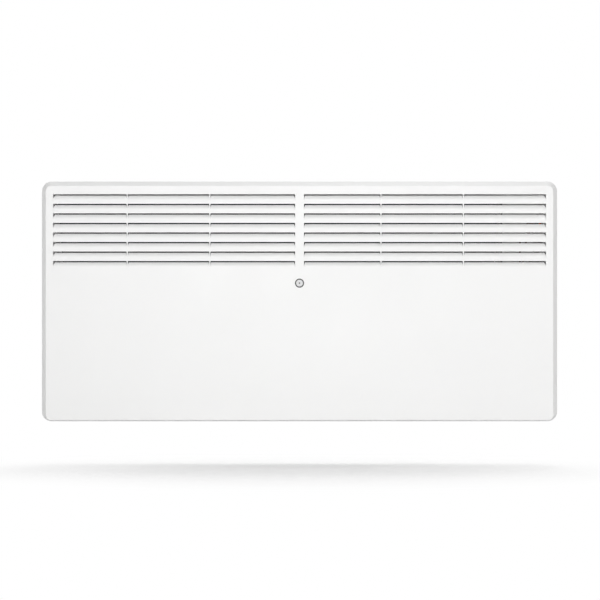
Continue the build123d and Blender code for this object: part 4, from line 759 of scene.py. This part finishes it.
# %% [markdown]
# ## Screws and rivets
# The casing, the inner sheets, the terminals and the controls are held by pan-head screws
# with a cross recess, and the bracket by domed rivets. One template of each size is made of
# rings, as if on a lathe: its head is a low dome pressed down along a cross, and its shank
# carries a thread. A tree then puts the template on every place, with the head along the
# right axis and each cross turned by its own random angle, as a fitter leaves it.

# %% Head and shank of a screw
AROUND = 32                 # points in each ring
HEAD_RINGS = 12
HEAD_FLAT = 3.2             # the larger, the flatter the dome of the head
RIM_RISE = 0.35             # height of the head's rim, as a share of the head's
RECESS_DEEP = 0.5           # and the depth of the cross recess
RECESS_ARM, RECESS_HALF, RECESS_SLOPE = 0.56, 0.15, 0.07    # shares of the head's radius
THREAD_PITCH, THREAD_DEEP, THREAD_STEPS = 0.7, 0.3, 4


def dome(share):
    """Height of a pan head over its rim, from 1 at the middle to 0 at the edge."""
    return math.sqrt(1 - share ** HEAD_FLAT)


def in_cross(x, y, head_r):
    """How deep the cross recess is at a point: 1 in the cross, 0 outside it."""
    arm, half = head_r * RECESS_ARM, head_r * RECESS_HALF
    near = max(min(arm - abs(x), half - abs(y)), min(arm - abs(y), half - abs(x)))
    return max(0.0, min(1.0, near / (head_r * RECESS_SLOPE)))


def round_angles():
    return [math.tau * i / AROUND for i in range(AROUND)]


def head_rows(head_r, head_h, recess):
    """Rings of a head from its middle to its rim, and one at its foot."""
    rows = []
    for ring in range(1, HEAD_RINGS + 1):
        radius = head_r * math.sin(ring / HEAD_RINGS * math.pi / 2)
        row = []
        for angle in round_angles():
            x, y = radius * math.cos(angle), radius * math.sin(angle)
            z = head_h * (RIM_RISE + (1 - RIM_RISE) * dome(min(radius / head_r, 1.0)))
            if recess:
                z -= head_h * RECESS_DEEP * in_cross(x, y, head_r)
            row.append((x, y, z))
        rows.append(row)
    rows.append([(head_r * math.cos(angle), head_r * math.sin(angle), 0.0)
                 for angle in round_angles()])
    return rows


def shank_rows(shank_r, length, threaded):
    """Rings of a shank from the head down, with a thread between its ends."""
    steps = max(2, round(length / THREAD_PITCH * THREAD_STEPS)) if threaded else 1
    rows = []
    for step in range(steps + 1):
        z = -length * step / steps
        row = []
        for i, angle in enumerate(round_angles()):
            wave = abs((z / THREAD_PITCH + i / AROUND) % 1.0 - 0.5) * 2
            cut = THREAD_DEEP * wave if threaded and 0 < step < steps else 0.0
            row.append(((shank_r - cut) * math.cos(angle), (shank_r - cut) * math.sin(angle), z))
        rows.append(row)
    return rows


# %% Screw template
def fastener_template(head_r, head_h, shank_r, length, screw):
    """A screw or rivet on the Z axis with its head standing on Z = 0, in millimetres."""
    rows = head_rows(head_r, head_h, screw) + shank_rows(shank_r, length, screw)
    body = bmesh.new()
    loops = [[body.verts.new([c * MM for c in point]) for point in row] for row in rows]
    for high, low in zip(loops, loops[1:]):
        for i in range(AROUND):
            j = (i + 1) % AROUND
            body.faces.new((high[i], low[i], low[j], high[j]))
    top_z = head_h * (1 - RECESS_DEEP if screw else 1.0)
    top = body.verts.new((0, 0, top_z * MM))
    end = body.verts.new((0, 0, -length * MM))
    for i in range(AROUND):
        j = (i + 1) % AROUND
        body.faces.new((top, loops[0][i], loops[0][j]))
        body.faces.new((end, loops[-1][j], loops[-1][i]))
    bmesh.ops.recalc_face_normals(body, faces=body.faces)
    mesh = as_mesh(body, "fastener_template")
    mark_edges(mesh, degrees=40.0)
    return mesh


# %% [markdown]
# The places are read from the CAD nodes, not typed again: each fastener in a node is one
# island of its mesh. The island's box gives the middle of the shank and the top of the head.


# %% Places of the fasteners
def island_boxes(node):
    """The low and high corner of every loose part of a CAD node, in metres."""
    copy = bmesh.new()
    copy.from_mesh(frame["nodes"][node].data)
    bmesh.ops.remove_doubles(copy, verts=copy.verts, dist=1e-6)
    boxes, met = [], set()
    for seed in copy.verts:
        if seed in met:
            continue
        met.add(seed)
        queue, points = [seed], []
        while queue:
            vert = queue.pop()
            points.append(vert.co.copy())
            for edge in vert.link_edges:
                other = edge.other_vert(vert)
                if other not in met:
                    met.add(other)
                    queue.append(other)
        boxes.append(([min(p[i] for p in points) for i in range(3)],
                      [max(p[i] for p in points) for i in range(3)]))
    copy.free()
    return sorted(boxes)


def seats(node, axis, head_h):
    """The point under the head of each fastener whose head points along the axis."""
    points = []
    for low, high in island_boxes(node):
        middle = [(a + b) / 2 for a, b in zip(low, high)]
        for i, way in enumerate(axis):
            if way:
                middle[i] = (high[i] if way > 0 else low[i]) - way * head_h * MM
        points.append(middle)
    return points


# %% Tree of the fasteners
def fastener_tree():
    tree, take = new_tree("fasteners", {"Fastener": "Object", "Head Way": "Vector",
                                        "Seed": "Int", "Metal": "Material"})
    template = add(tree, "GeometryNodeObjectInfo", {"Object": take["Fastener"]})
    spin = add(tree, "FunctionNodeRandomValue", {"Min": (0, 0, 0), "Max": (0, 0, math.tau),
                                                 "Seed": take["Seed"]},
               data_type="FLOAT_VECTOR").outputs[0]
    spun = add(tree, "FunctionNodeEulerToRotation", {0: spin}).outputs[0]
    aimed = add(tree, "FunctionNodeAlignRotationToVector", {"Vector": take["Head Way"]},
                axis="Z").outputs[0]
    turned = add(tree, "FunctionNodeRotateRotation", {0: aimed, 1: spun},
                 rotation_space="LOCAL").outputs[0]
    placed = add(tree, "GeometryNodeInstanceOnPoints", {
        "Points": take["Geometry"], "Instance": template.outputs["Geometry"],
        "Rotation": turned})
    return close_tree(tree, placed.outputs[0], take["Metal"])


fasteners = fastener_tree()
FASTENERS = {       # node: the way its heads point, head radius and height, shank, length
    "casing_screws": ((0, 1, 0), 3.6, 2.2, 2.0, 5.9),
    "back_sheet_screws": ((0, -1, 0), 2.8, 1.8, 1.5, 1.8),
    "shield_screws": ((0, -1, 0), 2.8, 1.8, 1.5, 9.7),
    "terminal_block_screws": ((0, -1, 0), 2.8, 1.8, 1.5, 17.9),
    "terminal_screws": ((0, -1, 0), 2.8, 1.8, 1.5, 6.5),
    "control_plate_screws": ((1, 0, 0), 2.8, 1.6, 1.5, 6.9),
    "bracket_rivets": ((0, -1, 0), 3.5, 1.2, 2.0, 2.8),
}

# %% Put the fasteners in
for seed, (node, (way, head_r, head_h, shank_r, length)) in enumerate(FASTENERS.items()):
    template = fastener_template(head_r, head_h, shank_r, length, node != "bracket_rivets")
    model = hosted(template)
    places = bpy.data.meshes.new(node + "_places")
    places.from_pydata(seats(node, way, head_h), [], [])
    metal = MATERIALS[SLOT_OF[node]]
    grown = grow(fasteners, {"Fastener": model, "Head Way": way, "Seed": seed, "Metal": metal},
                 places)
    bpy.data.objects.remove(model)
    finished(node + "_set", grown, metal, BODY_OF[node], [node])

# %% [markdown]
# ## Edges of sheets and mouldings
# CAD edges are razor sharp, and real ones never are: pressed sheet has a small bend radius,
# and a moulding has a radius from its tool. Light picks out exactly those edges. A copy of the
# CAD mesh is welded, its flat triangles are dissolved into flat faces, and a narrow Bevel runs
# along what is left. Weighted normals then let the large flats shade flat, so that only the
# narrow strips turn. It could be done on every node, but it only pays where an edge is seen.


# %% Softened copies
SHARP = math.radians(38.0)  # two faces meet in a real edge from this angle on
EDGE_STEPS = 2              # faces across a rounded edge


def welded_copy(node):
    """A bmesh copy of a CAD node, its loose triangles welded and its flats made whole."""
    copy = bmesh.new()
    copy.from_mesh(frame["nodes"][node].data)
    bmesh.ops.remove_doubles(copy, verts=copy.verts, dist=2e-6)
    bmesh.ops.dissolve_limit(copy, angle_limit=math.radians(0.6), verts=copy.verts,
                             edges=copy.edges)
    return copy


def real_edges(copy, smallest):
    """The sharp edges whose whole outline is longer than smallest, in millimetres."""
    sharp = {edge for edge in copy.edges if edge.calc_face_angle(0.0) > SHARP}
    chosen = []
    while sharp:
        outline, reached = [], [sharp.pop()]
        while reached:
            edge = reached.pop()
            outline.append(edge)
            near = {other for vert in edge.verts for other in vert.link_edges} & sharp
            sharp -= near
            reached += near
        places = [vert.co for edge in outline for vert in edge.verts]
        if max(max(axis) - min(axis) for axis in zip(*places)) > smallest * MM:
            chosen += outline
    return chosen


def softened(node, width, before, smallest):
    """A copy of a CAD node with its real edges rounded by width, in millimetres."""
    copy = welded_copy(node)
    if before:
        before(copy)
    weight = copy.edges.layers.float.new("bevel_weight_edge")
    for edge in real_edges(copy, smallest):
        edge[weight] = 1.0
    mesh = as_mesh(copy, node + "_soft")
    mark_edges(mesh, math.degrees(SHARP))
    host = hosted(mesh)
    rounding = host.modifiers.new("rounding", "BEVEL")
    rounding.limit_method = "WEIGHT"
    rounding.width = width * MM
    rounding.segments = EDGE_STEPS
    rounding.use_clamp_overlap = False
    rounding.miter_outer = "MITER_ARC"
    shading = host.modifiers.new("shading", "WEIGHTED_NORMAL")
    shading.keep_sharp = True
    shading.weight = 100
    return plain_mesh(host)


def dress(node, width, before=None, smallest=0.0, look=None):
    """Puts a softened copy in a CAD node's place, in the node's own finish or another."""
    mesh = softened(node, width, before, smallest)
    finished(node + "_finish", mesh, look or MATERIALS[SLOT_OF[node]], BODY_OF[node], [node])


# %% [markdown]
# ## The rear pan
# The rear pan is deep drawn: its back turns into the flanks with a radius of a good
# millimetre, wider than at its cut edges. The loop of edges round the back is bevelled first.
# The many punched holes and air slots keep the plain edge that a punch leaves.

# %% Rear pan
BACK_Y = -20.0
BACK_X, BACK_Z, BACK_CORNER = 410.0, 180.0, 12.0    # the back's outline
DRAWN_RADIUS = 1.5
DRAWN_STEPS = 4
DRAWN_TURN = math.radians(60)       # the back meets the flanks in more than this
ON_BACK, ON_EDGE = 0.01, 0.5        # how near a point of that loop lies, in millimetres
PUNCHED = 45.0              # outlines up to this size are punched


def drawn_corner(copy):
    """Rounds the loop where the back turns into the flanks."""
    def on_outline(point):
        across, up = BACK_X * MM - abs(point.x), BACK_Z * MM - abs(point.z)
        return abs(point.y - BACK_Y * MM) < ON_BACK * MM and (
            min(across, up) < ON_EDGE * MM or max(across, up) < (BACK_CORNER + ON_EDGE) * MM)

    def turns(edge):
        return edge.calc_face_angle(0.0) > DRAWN_TURN and all(
            on_outline(vert.co) for vert in edge.verts)

    bmesh.ops.bevel(copy, geom=[edge for edge in copy.edges if turns(edge)],
                    offset=DRAWN_RADIUS * MM, segments=DRAWN_STEPS, profile=0.5,
                    affect="EDGES", clamp_overlap=False)


dress("rear_panel", 0.3, drawn_corner, PUNCHED)

# %% [markdown]
# ## Bracket, sheets and mouldings
# The same softening goes on the other parts with visible edges: the wall bracket, the inner
# sheets seen through the louvres, the control plate and its switches, and the small mouldings.
# The partition gets the deflector's dark zinc too, as painted shade for the dim inside of the
# casing.

# %% Bracket, sheets and mouldings
EDGE_WIDTHS = {
    "bracket_rail_left": 0.3, "bracket_rail_right": 0.3, "bracket_crossbar_lower": 0.3,
    "bracket_crossbar_upper": 0.3, "heat_shield": 0.15, "air_deflector": 0.15,
    "element_bracket_left": 0.25, "element_bracket_right": 0.25,
    "cutout_bracket": 0.2, "heating_element_fins": 0.12, "control_plate": 0.25,
    "switch_body_lower": 0.2, "switch_body_upper": 0.2, "switch_rocker_lower": 0.25,
    "switch_rocker_upper": 0.25, "cable_gland": 0.2, "gland_nut": 0.4, "thermostat_body": 0.4,
    "terminal_block": 0.3, "thermal_cutout": 0.3, "element_insulator_left": 0.5,
    "element_insulator_right": 0.5, "pilot_lamp_holder": 0.3,
}
for node, width in EDGE_WIDTHS.items():
    dress(node, width)
# Painted shade: the partition in the deflector's near black zinc.
dress("partition_plate", 0.2, look=MATERIALS["dulled_zinc"])

# %% [markdown]
# ## The thermostat knob
# The knob is a satin moulding with a skirt, a fluted grip and a slightly dished top. A lathe
# gives everything but the flutes, so the knob is made of rings by formula: each ring has a
# radius, and in the grip the upper half of a wave round the circle presses the flutes in. The
# flutes fade out towards the skirt and the top, as on a moulding that has to leave its tool.

# %% Knob
CONTROL_Y, KNOB_Z = -45.5, 52.0
PLATE_X = 413.0
KNOB_BASE = PLATE_X + 0.4   # the skirt just clears the plate
FLUTE_COUNT, FLUTE_DEPTH = 16, 1.3
FLUTE_FULL = 0.6            # under 1, a flute is fuller than a plain wave
KNOB_PROFILE = (    # height over the base, radius, share of the flutes' depth
    (9.8, 0.0, 0), (9.8, 12.4, 0), (0.0, 12.4, 0), (0.0, 17.5, 0), (0.15, 17.85, 0),
    (0.5, 18.0, 0), (2.3, 18.0, 0), (2.75, 17.8, 0), (3.0, 17.3, 0), (3.1, 16.2, 0),
    (3.5, 15.6, 0.2), (4.4, 15.45, 0.8), (5.6, 15.4, 1), (9.0, 15.3, 1), (10.8, 15.2, 1),
    (11.6, 15.1, 0.9), (12.2, 14.75, 0.55), (12.65, 14.2, 0.25), (12.9, 13.4, 0.05),
    (13.0, 12.3, 0), (12.9, 10.5, 0), (12.75, 7.0, 0), (12.7, 3.0, 0), (12.7, 0.0, 0))
KNOB_AROUND = 384


def knob_form():
    form = bmesh.new()
    rows = []
    for height, radius, flute in KNOB_PROFILE:
        row = []
        for i in range(KNOB_AROUND if radius else 1):
            angle = math.tau * i / KNOB_AROUND
            wave = max(0.0, math.cos(FLUTE_COUNT * angle)) ** FLUTE_FULL
            reach = radius - FLUTE_DEPTH * flute * wave
            row.append(form.verts.new(((KNOB_BASE + height) * MM,
                                       (CONTROL_Y + reach * math.cos(angle)) * MM,
                                       (KNOB_Z + reach * math.sin(angle)) * MM)))
        rows.append(row)
    for low, high in zip(rows, rows[1:]):
        for i in range(KNOB_AROUND):
            j = (i + 1) % KNOB_AROUND
            corners = (low[i % len(low)], low[j % len(low)], high[j % len(high)],
                       high[i % len(high)])
            form.faces.new(list(dict.fromkeys(corners)))
    bmesh.ops.recalc_face_normals(form, faces=form.faces)
    mesh = as_mesh(form, "knob_form")
    mark_edges(mesh, degrees=40.0)
    return mesh


def rounded_bar(length, width, height, radius):
    """A bar along +X from the origin, with round edges, in millimetres."""
    bar = bmesh.new()
    bmesh.ops.create_cube(bar, size=1.0)
    for vert in bar.verts:
        vert.co = Vector(((vert.co.x + 0.5) * length, vert.co.y * width,
                          (vert.co.z + 0.5) * height)) * MM
    bmesh.ops.bevel(bar, geom=bar.edges, offset=radius * MM, segments=3, profile=0.5,
                    affect="EDGES", clamp_overlap=True)
    mesh = as_mesh(bar, "bar")
    mark_edges(mesh, degrees=50.0)
    return mesh


def on_plate(x, y, z, tilt=0.0, spin=0.0):
    """A matrix that lays flat work on the control plate: its X runs to the back of the
    heater, its Y upwards and its Z out of the side. tilt leans its top outwards."""
    lean = math.radians(tilt)
    facing = Matrix(((0, math.sin(lean), math.cos(lean), x * MM), (1, 0, 0, y * MM),
                     (0, math.cos(lean), -math.sin(lean), z * MM), (0, 0, 0, 1)))
    return facing @ Matrix.Rotation(math.radians(spin), 4, "Z")


# %% Knob with its pointer
POINTER_REST = 225.0        # pointer's angle at rest, from the back, turning upwards
POINTER_FROM, POINTER_L, POINTER_W, POINTER_H = 3.1, 7.75, 2.0, 1.4
POINTER_FOOT = 12.4         # its height over the knob's base
LINE_W, LINE_H, LINE_IN = 0.7, 0.02, 0.5
pointer = rounded_bar(POINTER_L, POINTER_W, POINTER_H, radius=0.3)
pointer.transform(on_plate(KNOB_BASE + POINTER_FOOT, CONTROL_Y, KNOB_Z, spin=POINTER_REST)
                  @ Matrix.Translation((POINTER_FROM * MM, 0, 0)))
knob = joined([knob_form(), pointer])
finished("knob_finish", knob, MATERIALS["knob_plastic"], "knob", ["thermostat_knob"])
line = rounded_bar(POINTER_L - 2 * LINE_IN, LINE_W, LINE_H, radius=0.005)
line.transform(on_plate(KNOB_BASE + POINTER_FOOT + POINTER_H - LINE_H, CONTROL_Y, KNOB_Z,
                        spin=POINTER_REST)
               @ Matrix.Translation(((POINTER_FROM + LINE_IN) * MM, 0, 0)))
finished("knob_pointer_line", line, GREY_INK, "knob")

# %% [markdown]
# ## The dial
# Round the knob runs a plain scale: the numbers 0 to 6 over 270 degrees and fine ticks
# between them. The ticks repeat by a rule, so a tree makes them: a line of points is bent onto
# an arc and a small box stands on each. The numbers are text turned into mesh and laid on the
# plate.

# %% Tree of the dial's ticks
DIAL_TOP = 6                # the highest number
DIAL_STEPS = 24
DIAL_SWEEP = 270.0
SMALL_TICK = 0.55           # size of a tick without a number, as a share of the others


def tick_tree():
    tree, take = new_tree("dial_ticks", {"Ticks": "Int", "Sweep": "Float", "Start": "Float",
                                         "Radius": "Float", "Length": "Float",
                                         "Width": "Float", "Thick": "Float", "Every": "Int",
                                         "Ink": "Material"})
    count = calc(tree, "ADD", take["Ticks"], 1.0)
    line = add(tree, "GeometryNodeMeshLine", {"Count": count, "Offset": (0, 0, 0)})
    index = add(tree, "GeometryNodeInputIndex").outputs[0]
    share = calc(tree, "DIVIDE", index, take["Ticks"])
    swept = calc(tree, "MULTIPLY", share, take["Sweep"])
    angle = calc(tree, "SUBTRACT", take["Start"], swept)
    x = calc(tree, "MULTIPLY", take["Radius"], calc(tree, "COSINE", angle))
    y = calc(tree, "MULTIPLY", take["Radius"], calc(tree, "SINE", angle))
    spread = add(tree, "GeometryNodeSetPosition", {"Geometry": line.outputs[0],
                                                   "Position": xyz(tree, x, y)})
    main = calc(tree, "COMPARE", calc(tree, "MODULO", index, take["Every"]), 0.0, 0.5)
    stretch = calc(tree, "MULTIPLY_ADD", main, 1 - SMALL_TICK, SMALL_TICK)
    box = add(tree, "GeometryNodeMeshCube", {
        "Size": xyz(tree, take["Length"], take["Width"], take["Thick"])})
    ticks = add(tree, "GeometryNodeInstanceOnPoints", {
        "Points": spread.outputs[0], "Instance": box.outputs[0],
        "Rotation": xyz(tree, z=angle), "Scale": xyz(tree, stretch, stretch, 1.0)})
    return close_tree(tree, ticks.outputs[0], take["Ink"])


# %% Ticks of the dial
PRINT_THICK = 0.03
TICK_RADIUS, TICK_L, TICK_W = 19.4, 1.3, 0.28
ticks = grow(tick_tree(), {
    "Ticks": DIAL_STEPS, "Sweep": math.radians(DIAL_SWEEP), "Start": math.radians(POINTER_REST),
    "Radius": TICK_RADIUS * MM, "Length": TICK_L * MM, "Width": TICK_W * MM,
    "Thick": PRINT_THICK * MM, "Every": DIAL_STEPS // DIAL_TOP, "Ink": GREY_INK})
ticks.transform(on_plate(PLATE_X + PRINT_THICK / 2, CONTROL_Y, KNOB_Z))
finished("dial_ticks", ticks, GREY_INK, "heater")


# %% Numbers on the dial
NUMBER_RADIUS, NUMBER_SIZE = 21.4, 2.5


def printed_text(words, size):
    """Flat text as a thin mesh round the origin, in the XY plane."""
    curve = bpy.data.curves.new("text", "FONT")
    curve.body = words
    curve.size = size * MM
    curve.align_x, curve.align_y = "CENTER", "CENTER"
    curve.extrude = PRINT_THICK * MM / 2
    curve.resolution_u = 4
    text = bpy.data.objects.new("text", curve)
    scene.collection.objects.link(text)
    return plain_mesh(text)


numbers = []
for number in range(DIAL_TOP + 1):
    angle = math.radians(POINTER_REST - DIAL_SWEEP * number / DIAL_TOP)
    word = printed_text(str(number), NUMBER_SIZE)
    word.transform(on_plate(PLATE_X + PRINT_THICK / 2,
                            CONTROL_Y + NUMBER_RADIUS * math.cos(angle),
                            KNOB_Z + NUMBER_RADIUS * math.sin(angle)))
    numbers.append(word)
finished("dial_numbers", joined(numbers), GREY_INK, "heater")

# %% [markdown]
# ## Marks on the rockers
# Each rocker has a line for on and a circle for off, the plain signs that every such switch
# carries. They are filled with white ink, and they ride on the rocker.

# %% Marks on the rockers
PIVOT_X = 411.5
PIVOTS_Z = {"lower": 86.0, "upper": 110.0}
ROCKER_TOP, ROCKER_HALF, ROCKER_TILT = 4.0, 7.6, 8.0
SIGN_SIZE, SIGN_RISE = 3.2, 0.01
for name, z in PIVOTS_Z.items():
    marks = []
    for sign, half in (("I", 1), ("O", -1)):
        # The middle of that half of the top, turned with the rocker about its pivot.
        rise = ROCKER_TOP + ROCKER_HALF / 2 * math.tan(math.radians(ROCKER_TILT)) + SIGN_RISE
        spot = Matrix.Rotation(math.radians(ROCKER_TILT), 3, "Y") @ Vector(
            (rise, 0, half * ROCKER_HALF / 2))
        mark = printed_text(sign, SIGN_SIZE)
        mark.transform(on_plate(PIVOT_X + spot.x, CONTROL_Y, z + spot.z,
                                tilt=ROCKER_TILT * (1 + half)))
        marks.append(mark)
    finished("rocker_marks_" + name, joined(marks), WHITE_INK, "rocker_" + name)
